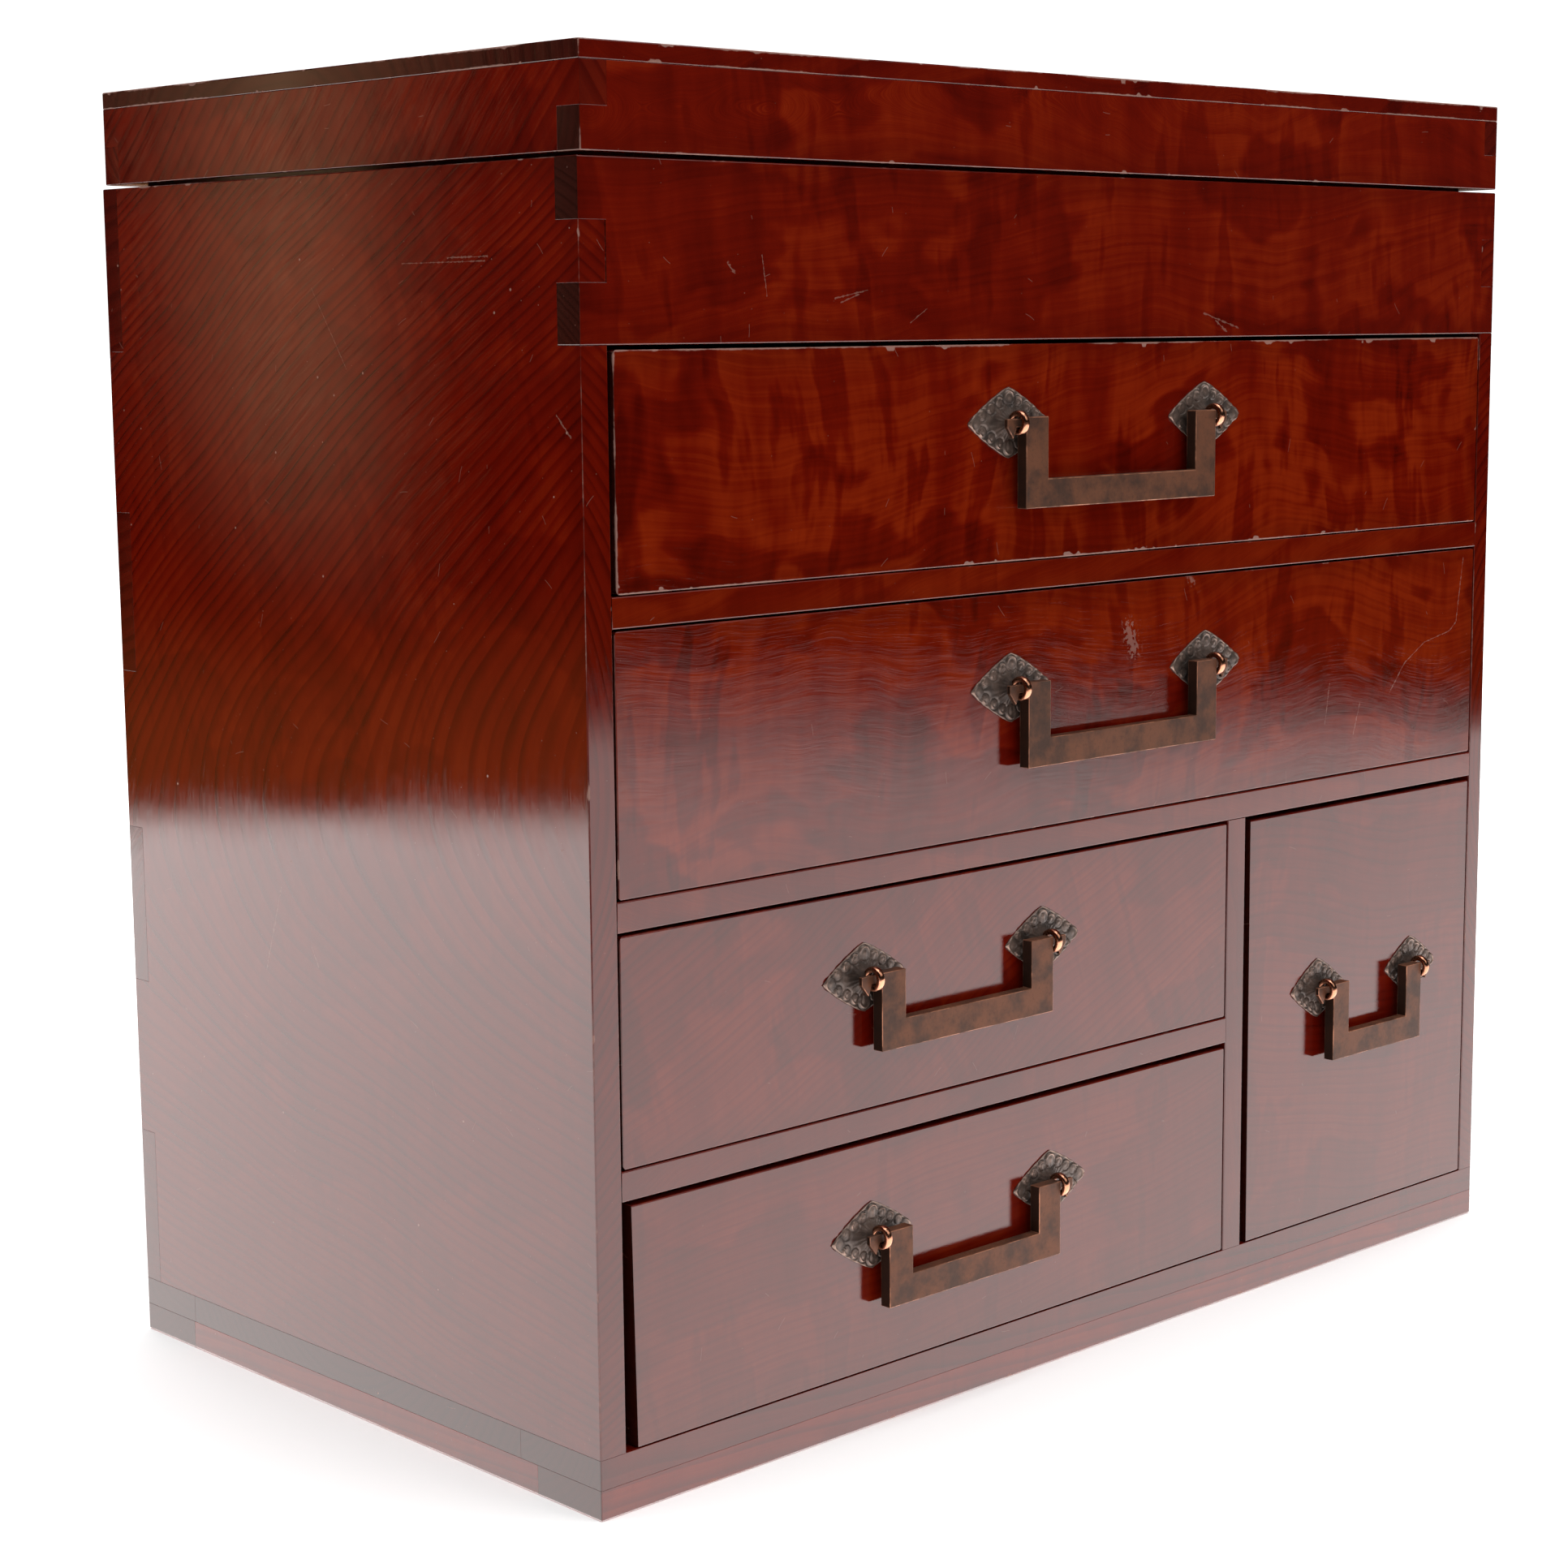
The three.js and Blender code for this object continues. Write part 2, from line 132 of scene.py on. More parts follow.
class StudioSettings(bpy.types.PropertyGroup):
    """Camera, paper sweep and lights."""

    camera_place: FloatVectorProperty(
        name="Camera", description="Where the camera stands",
        default=(-0.6181, -0.6254, 0.2801), subtype="TRANSLATION", unit="LENGTH")
    azimuth: FloatProperty(
        name="Azimuth", description="Turn of the camera to the right of the way to the back",
        default=math.radians(43.373), subtype="ANGLE")
    elevation: FloatProperty(
        name="Elevation", description="How far the camera looks down",
        default=math.radians(8.566), subtype="ANGLE")
    roll: FloatProperty(
        name="Roll", description="How far the camera's right side tips down",
        default=math.radians(0.505), subtype="ANGLE")
    lens: FloatProperty(
        name="Lens", description="Focal length on a 36 mm wide frame, in millimetres", default=69.54)
    sweep_left: length(
        "Sweep left", "From the near foot of the cabinet to the sweep's left edge", 1.044)
    sweep_right: length(
        "Sweep right", "From the near foot of the cabinet to the sweep's right edge", 1.440)
    sweep_shine: FloatProperty(
        name="Sweep shine", description="How bright the lit sweep looks in the lacquer", default=3.5)
    key_power: FloatProperty(
        name="Key", description="Power of the large soft light, in watts", default=9.0)
    fill: FloatProperty(
        name="Fill", description="Brightness of the room's own light", default=0.50)


SETTINGS = {
    "cabinet_wood": WoodSettings,
    "cabinet_handles": HandleSettings,
    "cabinet_studio": StudioSettings,
}


# ---- Node trees ----


class Tree:
    """A node tree being filled. Every method returns the socket that the next node needs."""

    def __init__(self, tree):
        self.tree = tree

    def feed(self, socket, value):
        """Links a socket to value, or sets it where value is plain."""
        if isinstance(value, bpy.types.NodeSocket):
            self.tree.links.new(value, socket)
        else:
            socket.default_value = value

    def add(self, kind, inputs=None, **settings):
        """A new node with its settings and the inputs given by name or number."""
        node = self.tree.nodes.new(kind)
        for key, value in settings.items():
            setattr(node, key, value)
        for key, value in (inputs or {}).items():
            self.feed(node.inputs[key], value)
        return node

    def math(self, operation, *values, clamp=False):
        node = self.add("ShaderNodeMath", dict(enumerate(values)), operation=operation, use_clamp=clamp)
        return node.outputs[0]

    def plus(self, a, b, clamp=False):
        return self.math("ADD", a, b, clamp=clamp)

    def minus(self, a, b):
        return self.math("SUBTRACT", a, b)

    def times(self, a, b, clamp=False):
        return self.math("MULTIPLY", a, b, clamp=clamp)

    def over(self, a, b, clamp=False):
        return self.math("DIVIDE", a, b, clamp=clamp)

    def higher(self, a, b):
        return self.math("MAXIMUM", a, b)

    def lower(self, a, b):
        return self.math("MINIMUM", a, b)

    def vector(self, operation, *values, output="Vector"):
        node = self.add("ShaderNodeVectorMath", dict(enumerate(values)), operation=operation)
        return node.outputs[output]

    def scaled(self, vector, scale):
        node = self.add("ShaderNodeVectorMath", {0: vector, "Scale": scale}, operation="SCALE")
        return node.outputs["Vector"]

    def dot(self, a, b):
        return self.vector("DOT_PRODUCT", a, b, output="Value")

    def length(self, a):
        return self.vector("LENGTH", a, output="Value")

    def parts(self, vector):
        return self.add("ShaderNodeSeparateXYZ", {0: vector}).outputs

    def joined(self, x, y, z):
        return self.add("ShaderNodeCombineXYZ", {0: x, 1: y, 2: z}).outputs[0]

    def mix(self, factor, a, b, blend="MIX"):
        node = self.add("ShaderNodeMix", {0: factor, 6: a, 7: b}, data_type="RGBA", blend_type=blend)
        return node.outputs[2]

    def step(self, value, low, high, to_low=0.0, to_high=1.0, smooth=True):
        """Value carried from low..high to to_low..to_high, and held at the ends."""
        node = self.add(
            "ShaderNodeMapRange", {0: value, 1: low, 2: high, 3: to_low, 4: to_high},
            interpolation_type="SMOOTHSTEP" if smooth else "LINEAR")
        return node.outputs[0]

    def noise(self, vector, scale, detail=2.0, roughness=0.5, w=None, output="Fac"):
        inputs = {"Scale": scale, "Detail": detail, "Roughness": roughness}
        if vector is not None:
            inputs["Vector"] = vector
        if w is not None:
            inputs["W"] = w
        kind = "3D" if w is None else ("1D" if vector is None else "4D")
        node = self.tree.nodes.new("ShaderNodeTexNoise")
        node.noise_dimensions = kind
        for key, value in inputs.items():
            self.feed(node.inputs[key], value)
        return node.outputs[output]

    def cells(self, vector, scale, dimensions="3D"):
        node = self.tree.nodes.new("ShaderNodeTexVoronoi")
        node.voronoi_dimensions = dimensions
        self.feed(node.inputs["Vector"], vector)
        self.feed(node.inputs["Scale"], scale)
        return node.outputs

    def ramp(self, value, stops):
        """Colour from stops of (place, colour), evenly blended."""
        node = self.add("ShaderNodeValToRGB", {0: value})
        band = node.color_ramp
        while len(band.elements) < len(stops):
            band.elements.new(1.0)
        for element, (at, colour) in zip(band.elements, stops):
            element.position = at
            element.color = (*colour, 1.0)
        return node.outputs["Color"]


SOCKETS = {"v": "NodeSocketVector", "f": "NodeSocketFloat", "c": "NodeSocketColor"}


def group(name, takes, gives):
    """A shader node group. takes and gives map a socket's name to its kind, v, f or c."""
    tree = bpy.data.node_groups.new(name, "ShaderNodeTree")
    for names, way in ((takes, "INPUT"), (gives, "OUTPUT")):
        for title, kind in names.items():
            tree.interface.new_socket(title, in_out=way, socket_type=SOCKETS[kind])
    inside = Tree(tree)
    return inside, inside.add("NodeGroupInput").outputs, inside.add("NodeGroupOutput")


# How growth rings are uneven. Scales are per metre
PITH_SEED = 3.7  # moves the figure of boards with different piths apart
WANDER_SCALE, QUIVER_SCALE = 9.0, 40.0  # broad and fine bends of the rings
SEASON_PACE, SEASON_SPREAD = 0.37, 1.1  # how fast, and by how many rings, the years differ
YEAR_SEED = 7.31  # gives each ring its own strength
BAND_DEPTH, STREAK_DEPTH, RIPPLE_DEPTH, PORE_DEPTH = 14.0 * MM, 0.8 * MM, 2.2 * MM, 0.32 * MM
CLOUD_STRETCH = 0.45  # share by which clouds are drawn out along the trunk
CURL_SQUEEZE = 0.75  # share by which curl is drawn out across the rings


def growth_rings_group():
    """Growth rings of a trunk whose pith runs through a point, seen wherever the board cuts them."""
    t, given, out = group(
        "growth_rings",
        {"Position": "v", "Pith": "v", "Run": "v", "Taper": "f", "Spacing": "f", "Warp": "f", "Curl": "f"},
        {"Line": "f", "Band": "f", "Streak": "f", "Ripple": "f", "Pores": "f", "Tone": "f", "Curl": "f"})
    position, pith, run = given["Position"], given["Pith"], given["Run"]
    seeded = t.vector("ADD", position, t.scaled(pith, PITH_SEED))

    def drift(scale):
        return t.vector("SUBTRACT", t.noise(seeded, scale, detail=1.0, output="Color"), (0.5, 0.5, 0.5))

    wander, quiver = drift(WANDER_SCALE), drift(QUIVER_SCALE)
    moved = t.vector("ADD", position, t.scaled(wander, given["Warp"]))
    moved = t.vector("ADD", moved, t.scaled(quiver, given["Curl"]))
    away = t.vector("SUBTRACT", moved, pith)
    along = t.dot(away, run)
    across = t.vector("SUBTRACT", away, t.scaled(run, along))
    reach = t.minus(t.length(across), t.times(along, given["Taper"]))
    years = t.over(reach, given["Spacing"])
    uneven = t.noise(None, scale=1.0, detail=2.0, w=t.times(years, SEASON_PACE))
    years = t.plus(years, t.times(uneven, SEASON_SPREAD))
    part = t.math("FRACT", years)
    late = t.step(part, 0.35, 0.84)
    fade = t.step(part, 0.88, 1.0, 1.0, 0.0)
    strength = t.noise(None, scale=1.0, detail=0.0, w=t.times(t.math("FLOOR", years), YEAR_SEED))
    line = t.times(t.times(late, fade), t.step(strength, 0.25, 0.6, 0.45, 1.0))
    band = t.noise(moved, scale=14.0, detail=1.0, w=t.over(reach, BAND_DEPTH))
    streak = t.noise(position, scale=75.0, detail=2.0, roughness=0.6, w=t.over(reach, STREAK_DEPTH))
    ripple = t.noise(position, scale=70.0, detail=1.0, roughness=0.5, w=t.over(reach, RIPPLE_DEPTH))
    pores = t.noise(position, scale=230.0, detail=1.0, roughness=0.5, w=t.over(reach, PORE_DEPTH))
    drawn_out = t.vector("SUBTRACT", moved, t.scaled(run, t.times(along, CLOUD_STRETCH)))
    tone = t.noise(drawn_out, scale=24.0, detail=3.0, roughness=0.6)
    squeezed = t.vector("SUBTRACT", moved, t.scaled(across, CURL_SQUEEZE))
    curl = t.noise(squeezed, scale=62.0, detail=3.0, roughness=0.6)
    found = {"Line": line, "Band": band, "Streak": streak, "Ripple": ripple,
             "Pores": pores, "Tone": tone, "Curl": curl}
    for name, socket in found.items():
        t.feed(out.inputs[name], socket)
    return t.tree


SOFT_REACH = 9.0 * MM  # how far an arris darkens the lacquer beside it
WORN_EDGE = (-0.25 * MM, 0.06 * MM)  # over which the rubbed band gives way to lacquer


def arris_wear_group():
    """The rubbed band along the open edges of a box-shaped board, and the darker lacquer beside it."""
    t, given, out = group(
        "arris_wear",
        {"Position": "v", "Low": "v", "High": "v", "Width": "f", "Amount": "f"},
        {"Worn": "f", "Soft": "f"})
    position = given["Position"]
    from_low = t.vector("SUBTRACT", position, given["Low"])
    from_high = t.vector("SUBTRACT", given["High"], position)
    x, y, z = t.parts(t.vector("ABSOLUTE", t.vector("MINIMUM", from_low, from_high)))
    smaller, larger = t.lower(x, y), t.higher(x, y)
    edge = t.higher(smaller, t.lower(larger, z))
    broad = t.step(t.noise(position, scale=38.0, detail=2.0, roughness=0.6), 0.40, 0.60, 0.15, 1.0)
    chips = t.step(t.noise(position, scale=130.0, detail=2.0, roughness=0.6), 0.62, 0.70, 0.0, 1.5)
    fine = t.minus(t.noise(position, scale=520.0, detail=2.0, roughness=0.65), 0.5)
    patchy = t.plus(t.plus(broad, chips), fine)
    reach = t.times(t.times(given["Width"], patchy), given["Amount"])
    worn = t.step(t.minus(edge, reach), *WORN_EDGE, 1.0, 0.0)
    present = t.step(given["Amount"], 0.0, 0.15)
    soft = t.step(edge, 0.0, SOFT_REACH, 1.0, 0.0)
    t.feed(out.inputs["Worn"], t.times(worn, present))
    t.feed(out.inputs["Soft"], soft)
    return t.tree


FACING = 0.6  # least share of a normal along an axis for a face that looks that way


def face_plane(t, position, normal):
    """Two coordinates along whichever face of a board the point lies on."""
    x, y, z = t.parts(position)
    nx, ny, _ = t.parts(t.vector("ABSOLUTE", normal))
    on_side, on_front = t.math("GREATER_THAN", nx, FACING), t.math("GREATER_THAN", ny, FACING)
    across = t.add("ShaderNodeMix", {0: on_side, 2: x, 3: y}).outputs[0]
    upright = t.higher(on_side, on_front)
    up = t.add("ShaderNodeMix", {0: upright, 2: y, 3: z}).outputs[0]
    return across, up


MOST_BOW = 90.0  # curvature of the most bent scratch, per metre


def fine_scratches_group():
    """Short straight scratches at random angles, one at most in each cell of a face."""
    t, given, out = group(
        "fine_scratches",
        {"Position": "v", "Normal": "v", "Cell": "f", "Length": "f", "Width": "f", "Share": "f"},
        {"Mask": "f"})
    across, up = face_plane(t, given["Position"], given["Normal"])
    flat = t.joined(across, up, 0.0)
    cell = t.cells(t.vector("DIVIDE", flat, t.joined(given["Cell"], given["Cell"], 1.0)), 1.0, "2D")
    centre = t.scaled(cell["Position"], given["Cell"])
    red, green, blue = t.parts(cell["Color"])
    away = t.parts(t.vector("SUBTRACT", flat, centre))
    turn = t.times(red, math.tau)
    cosine, sine = t.math("COSINE", turn), t.math("SINE", turn)
    run = t.plus(t.times(away[0], cosine), t.times(away[1], sine))
    off = t.minus(t.times(away[1], cosine), t.times(away[0], sine))
    bow = t.times(t.times(run, run), t.times(t.minus(blue, 0.5), MOST_BOW))
    off = t.math("ABSOLUTE", t.plus(off, bow))
    half = t.times(t.times(given["Length"], 0.5), t.plus(green, 0.2))
    inside = t.math("LESS_THAN", t.math("ABSOLUTE", run), half)
    thin = t.step(off, t.times(given["Width"], 0.3), given["Width"], 1.0, 0.0)
    chosen = t.math("LESS_THAN", blue, given["Share"])
    t.feed(out.inputs["Mask"], t.times(t.times(inside, thin), chosen))
    return t.tree


def specks_group():
    """Small pale specks and nicks strewn over a surface."""
    t, given, out = group(
        "specks", {"Position": "v", "Cell": "f", "Size": "f", "Share": "f"}, {"Mask": "f"})
    cell = t.cells(t.vector("DIVIDE", given["Position"], t.joined(*[given["Cell"]] * 3)), 1.0)
    red, green, _ = t.parts(cell["Color"])
    away = t.times(cell["Distance"], given["Cell"])
    size = t.times(given["Size"], t.plus(t.times(green, green), 0.25))
    spot = t.step(away, t.times(size, 0.5), size, 1.0, 0.0)
    t.feed(out.inputs["Mask"], t.times(spot, t.math("LESS_THAN", red, given["Share"])))
    return t.tree


def mark_line_group():
    """Distance from one scratch between two points, as a share of its width."""
    t, given, out = group(
        "mark_line", {"Position": "v", "Start": "v", "End": "v", "Width": "f"}, {"Share": "f"})
    run = t.vector("SUBTRACT", given["End"], given["Start"])
    away = t.vector("SUBTRACT", given["Position"], given["Start"])
    share = t.over(t.dot(away, run), t.dot(run, run), clamp=True)
    off = t.length(t.vector("SUBTRACT", away, t.scaled(run, share)))
    t.feed(out.inputs["Share"], t.over(off, given["Width"]))
    return t.tree


def dust_group():
    """Pale dust that settles on faces that look up, and smears that lie anywhere."""
    t, given, out = group(
        "dust", {"Position": "v", "Normal": "v", "Amount": "f"}, {"Mask": "f", "Smear": "f"})
    up = t.step(t.parts(given["Normal"])[2], 0.3, 1.0)
    clumps = t.noise(given["Position"], scale=160.0, detail=4.0, roughness=0.65)
    settled = t.times(up, t.step(clumps, 0.35, 0.75))
    smear = t.step(t.noise(given["Position"], scale=11.0, detail=4.0, roughness=0.6), 0.45, 0.75)
    t.feed(out.inputs["Mask"], t.times(settled, given["Amount"]))
    t.feed(out.inputs["Smear"], t.times(smear, given["Amount"]))
    return t.tree


def patina_group():
    """Mottling and grit of an old metal, and the broken pattern in which it is rubbed bright."""
    t, given, out = group(
        "patina", {"Position": "v", "Scale": "f"}, {"Mottle": "f", "Grit": "f", "Broken": "f"})
    mottle = t.noise(given["Position"], scale=given["Scale"], detail=4.0, roughness=0.62)
    grit = t.noise(given["Position"], scale=t.times(given["Scale"], 9.0), detail=3.0, roughness=0.6)
    breaks = t.noise(given["Position"], scale=170.0, detail=3.0, roughness=0.6)
    broken = t.step(breaks, 0.40, 0.60, 0.15, 1.0)
    t.feed(out.inputs["Mottle"], mottle)
    t.feed(out.inputs["Grit"], grit)
    t.feed(out.inputs["Broken"], broken)
    return t.tree


GROUP_MAKERS = {
    "growth_rings": growth_rings_group,
    "arris_wear": arris_wear_group,
    "fine_scratches": fine_scratches_group,
    "specks": specks_group,
    "mark_line": mark_line_group,
    "dust": dust_group,
    "patina": patina_group,
}


def effect(t, name, inputs):
    """A copy of the named effect in tree t, with its outputs."""
    tree = bpy.data.node_groups.get(name) or GROUP_MAKERS[name]()
    node = t.tree.nodes.new("ShaderNodeGroup")
    node.node_tree = tree
    for key, value in inputs.items():
        t.feed(node.inputs[key], value)
    return node.outputs


# ---- Finishes ----


def new_material(name):
    """An empty material and the tree that fills it."""
    material = bpy.data.materials.new(name)
    material.use_nodes = True
    material.node_tree.nodes.clear()
    return material, Tree(material.node_tree)


def surface(t, colour, roughness, height, relief, **constants):
    """The one shader of a finish. height is raised by relief metres, and constants are set as they are."""
    bump = t.add("ShaderNodeBump", {"Strength": 1.0, "Distance": relief, "Height": height})
    shader = t.add("ShaderNodeBsdfPrincipled", {
        "Base Color": colour, "Roughness": roughness, "Normal": bump.outputs[0]})
    for key, value in constants.items():
        t.feed(shader.inputs[key.replace("_", " ")], value)
    t.add("ShaderNodeOutputMaterial", {0: shader.outputs[0]})
    return shader


def wood_figure(t, position):
    """The rings of the board being shaded: each board carries its own pith and figure."""
    def carried(name):
        return t.add("ShaderNodeAttribute", attribute_name=name).outputs["Vector"]

    figure, finish, grain = (t.parts(carried(name)) for name in ("figure", "finish", "grain"))
    rings = effect(t, "growth_rings", {
        "Position": position, "Pith": carried("pith"), "Run": carried("run"),
        "Taper": figure[0], "Spacing": figure[1], "Warp": figure[2], "Curl": finish[2]})
    return rings, finish, grain, carried


# Scratches by board: start and end in millimetres from the case's lower front left corner, and width
SCRATCHES = {
    "second_drawer_front": (
        ((347.5, 0, 209), (344.5, 0, 189.5), 0.45),
        ((344.5, 0, 189.5), (341, 0, 187), 0.45),
        ((341, 0, 187), (328, 0, 184.5), 0.35),
        ((328, 0, 184.5), (318, 0, 179), 0.35),
        ((318, 0, 179), (310.5, 0, 170.5), 0.45),
        ((279, 0, 164), (281, 0, 176), 0.4),
        ((293, 0, 160), (296, 0, 169), 0.5),
        ((190, 0, 199), (192.5, 0, 193), 5.0),
        ((216, 0, 212), (217, 0, 210), 2.6),
    ),
    "fascia_board": (
        ((56, 0, 297), (57.5, 0, 287.5), 0.35),
        ((45, 0, 295), (47, 0, 293), 0.9),
        ((80, 0, 287), (91, 0, 289), 0.4),
        ((82, 0, 286), (88, 0, 288), 0.4),
        ((106, 0, 281), (112, 0, 284.5), 0.4),
        ((221, 0, 283), (236, 0, 279), 0.5),
        ((226, 0, 281), (231, 0, 278), 0.7),
    ),
    "side_left": (
        ((0, 66, 296), (0, 34, 296), 0.3),
        ((0, 48, 297), (0, 33, 297), 0.45),
        ((0, 4, 256), (0, 9, 261), 0.5),
        ((0, 104, 291), (0, 90, 271), 0.25),
        ((0, 126, 137), (0, 134, 114), 0.5),
        ((0, 110, 118), (0, 113, 123), 0.45),
    ),
}


SCRATCH_HALF = 0.65  # reach of a scratch to each side of its line, as a share of its width


def scratches(t, position, lines):
    """Mask of the scratches in lines."""
    ragged = t.step(t.noise(position, scale=900.0, detail=2.0, roughness=0.6), 0.35, 0.6, 4.0, 0.75)
    nearest = None
    for start, end, width in lines:
        line = effect(t, "mark_line", {
            "Position": position, "Start": place(*start), "End": place(*end),
            "Width": SCRATCH_HALF * width * MM})
        nearest = line["Share"] if nearest is None else t.lower(nearest, line["Share"])
    return t.step(t.times(nearest, ragged), 0.4, 1.0, 1.0, 0.0)


# What each part of the figure adds to a point's level: its place between ring line (0) and glow (1)
MIDDLE_LEVEL = 0.50
TONE_SHARE, CURL_SHARE, BAND_SHARE = 0.40, 0.40, 0.035
CLOUD_MIDDLE = 0.31
DARK_CLOUD = 0.13  # how far the dark clouds drop below the wood round them
STREAK_SHARE, LINE_SHARE, PORE_SHARE = 0.55, 0.24, 0.06
LEVEL_STOPS = (0.0, 0.30, 0.56, 0.90)
FLOOR_SHEEN_LEVEL = 0.66  # painted reflection of the white floor: the lighter level that the figure fades to, low on the cabinet
FLOOR_SHEEN_CONTRAST = 0.75
FLOOR_SHEEN_HEIGHTS = (0.02, 0.19)
END_LINE_SHADE = 0.55  # ring lines in end grain against the wood between them

# Share of the worn colour that shows in each kind of mark
WORN_MARKS, NICK_MARKS, MOTE_MARKS, HAIR_MARKS, SCRATCH_MARKS = 0.62, 0.65, 0.40, 0.25, 0.34
SOFT_SHADE, DUST_VEIL = 0.22, 0.22
WEAR_WIDTH = 0.55 * MM  # of the rubbed band along the arrises of a board whose wear is 1
DUST_COLOUR = (0.42, 0.36, 0.32, 1.0)


def figure_level(t, rings, finish, grain, pores):
    """Level of each point: clouds, curl and streaks, crossed by ring lines and pores."""
    tone, curl = rings["Tone"], rings["Curl"]
    clouds = t.plus(t.times(tone, TONE_SHARE), t.times(curl, CURL_SHARE))
    clouds = t.plus(clouds, t.times(t.step(rings["Band"], 0.36, 0.60), BAND_SHARE))
    clouds = t.minus(clouds, t.step(tone, 0.50, 0.55, 0.0, DARK_CLOUD))
    clouds = t.minus(clouds, t.step(curl, 0.55, 0.64, 0.0, DARK_CLOUD))
    clouds = t.times(t.minus(clouds, CLOUD_MIDDLE), grain[1])
    streaks = t.times(t.minus(rings["Streak"], 0.5), t.times(grain[2], STREAK_SHARE))
    level = t.plus(t.plus(t.plus(MIDDLE_LEVEL, finish[0]), clouds), streaks)
    level = t.minus(level, t.times(t.times(rings["Line"], grain[0]), LINE_SHARE))
    return t.minus(level, t.times(pores, PORE_SHARE))


def painted_floor_sheen(t, level, position):
    """Painted reflection of the white floor: the figure has less contrast near the foot of the cabinet, and
    is drawn to a lighter level.
    """
    high = t.step(t.parts(position)[2], *FLOOR_SHEEN_HEIGHTS)
    contrast = t.plus(FLOOR_SHEEN_CONTRAST, t.times(high, 1.0 - FLOOR_SHEEN_CONTRAST))
    return t.plus(FLOOR_SHEEN_LEVEL, t.times(t.minus(level, FLOOR_SHEEN_LEVEL), contrast))


def pale_marks(t, position, normal, lines):
    """Mask of nicks, motes, hair scratches and the scratches in lines."""
    nicks = effect(t, "specks", {"Position": position, "Cell": 6.5 * MM, "Size": 0.40 * MM, "Share": 0.34})
    motes = effect(t, "specks", {"Position": position, "Cell": 2.1 * MM, "Size": 0.17 * MM, "Share": 0.30})
    hairs = effect(t, "fine_scratches", {
        "Position": position, "Normal": normal, "Cell": 19 * MM, "Length": 3.4 * MM,
        "Width": 0.13 * MM, "Share": 0.30})
    pale = t.higher(t.times(nicks["Mask"], NICK_MARKS), t.times(motes["Mask"], MOTE_MARKS))
    pale = t.higher(pale, t.times(hairs["Mask"], HAIR_MARKS))
    if lines:
        pale = t.higher(pale, t.times(scratches(t, position, lines), SCRATCH_MARKS))
    return pale


def wood_roughness(t, gloss, marks, settled, ends):
    """Gloss of sound lacquer, duller where it is worn, dusty or soaked into end grain."""
    roughness = t.plus(gloss, t.times(marks, 0.40))
    roughness = t.plus(roughness, t.times(settled["Smear"], 0.03))
    roughness = t.plus(roughness, t.times(settled["Mask"], 0.25))
    return t.plus(roughness, t.times(ends, 0.10))


def wood_relief(t, rings, position, pores):
    """Ripples of the film over the grain, and the slow swell of a board planed by hand."""
    height = t.plus(t.times(rings["Ripple"], 0.36), t.times(rings["Streak"], 0.07))
    height = t.plus(height, t.times(t.noise(position, scale=300.0, detail=1.0), 0.16))
    height = t.plus(height, t.times(t.noise(position, scale=32.0, detail=1.0), 2.2))
    return t.minus(height, t.times(pores, 0.02))


def wood_material(name, colours, end_colour, worn_colour, gloss, relief, lines=(), dust=0.5):
    """A wood whose figure runs through the colours, from its ring lines to its brightest glow."""
    material, t = new_material(name)
    coordinates = t.tree.nodes.new("ShaderNodeTexCoord").outputs
    position, normal = coordinates["Object"], coordinates["Normal"]
    rings, finish, grain, carried = wood_figure(t, position)
    pores = t.step(rings["Pores"], 0.60, 0.72)
    # painted reflection: the figure is lightened and flattened near the foot, where the white floor shows
    # in the lacquer
    level = painted_floor_sheen(t, figure_level(t, rings, finish, grain, pores), position)
    colour = t.ramp(level, list(zip(LEVEL_STOPS, colours)))

    end_axis = carried("ends")
    ends = t.step(t.math("ABSOLUTE", t.dot(normal, t.vector("NORMALIZE", end_axis))), 0.6, 0.85)
    ends = t.times(ends, t.length(end_axis))
    end_line = opaque(END_LINE_SHADE * channel for channel in end_colour[:3])
    colour = t.mix(ends, colour, t.mix(rings["Line"], end_colour, end_line))

    wear = effect(t, "arris_wear", {
        "Position": position, "Low": carried("open_low"), "High": carried("open_high"),
        "Width": WEAR_WIDTH, "Amount": finish[1]})
    colour = t.mix(t.times(wear["Soft"], SOFT_SHADE), colour, opaque(colours[0]))
    pale = pale_marks(t, position, normal, lines)
    settled = effect(t, "dust", {"Position": position, "Normal": normal, "Amount": dust})
    colour = t.mix(t.times(wear["Worn"], WORN_MARKS), colour, worn_colour)
    colour = t.mix(pale, colour, worn_colour)
    colour = t.mix(t.times(settled["Mask"], DUST_VEIL), colour, DUST_COLOUR)

    roughness = wood_roughness(t, gloss, t.higher(wear["Worn"], pale), settled, ends)
    surface(t, colour, roughness, wood_relief(t, rings, position, pores), relief)
    return material


def opaque(colour):
    return (*colour, 1.0)


def red_lacquer(scratched=None):
    """The transparent lacquer, with the scratches of one board where it has some of its own."""
    wood = bpy.context.scene.cabinet_wood
    colours = (wood.ring_line[:], wood.shade[:], wood.body[:], wood.glow[:])
    name = f"red_lacquer_{scratched}" if scratched else "red_lacquer"
    return wood_material(
        name, colours, opaque(wood.end_grain), opaque(wood.worn), gloss=0.030, relief=0.011 * MM,
        lines=SCRATCHES.get(scratched, ()), dust=0.12)


DRY_GAIN, DRY_HAZE = 1.25, 0.004  # how thin, scuffed lacquer looks against the sound colours


def plinth_lacquer():
    wood = bpy.context.scene.cabinet_wood
    lifted = [tuple(min(1.0, channel * DRY_GAIN + DRY_HAZE) for channel in colour)
              for colour in (wood.ring_line, wood.shade, wood.body, wood.glow)]
    return wood_material(
        "plinth_lacquer", lifted, opaque(wood.end_grain), opaque(wood.worn), gloss=0.15, relief=0.02 * MM)


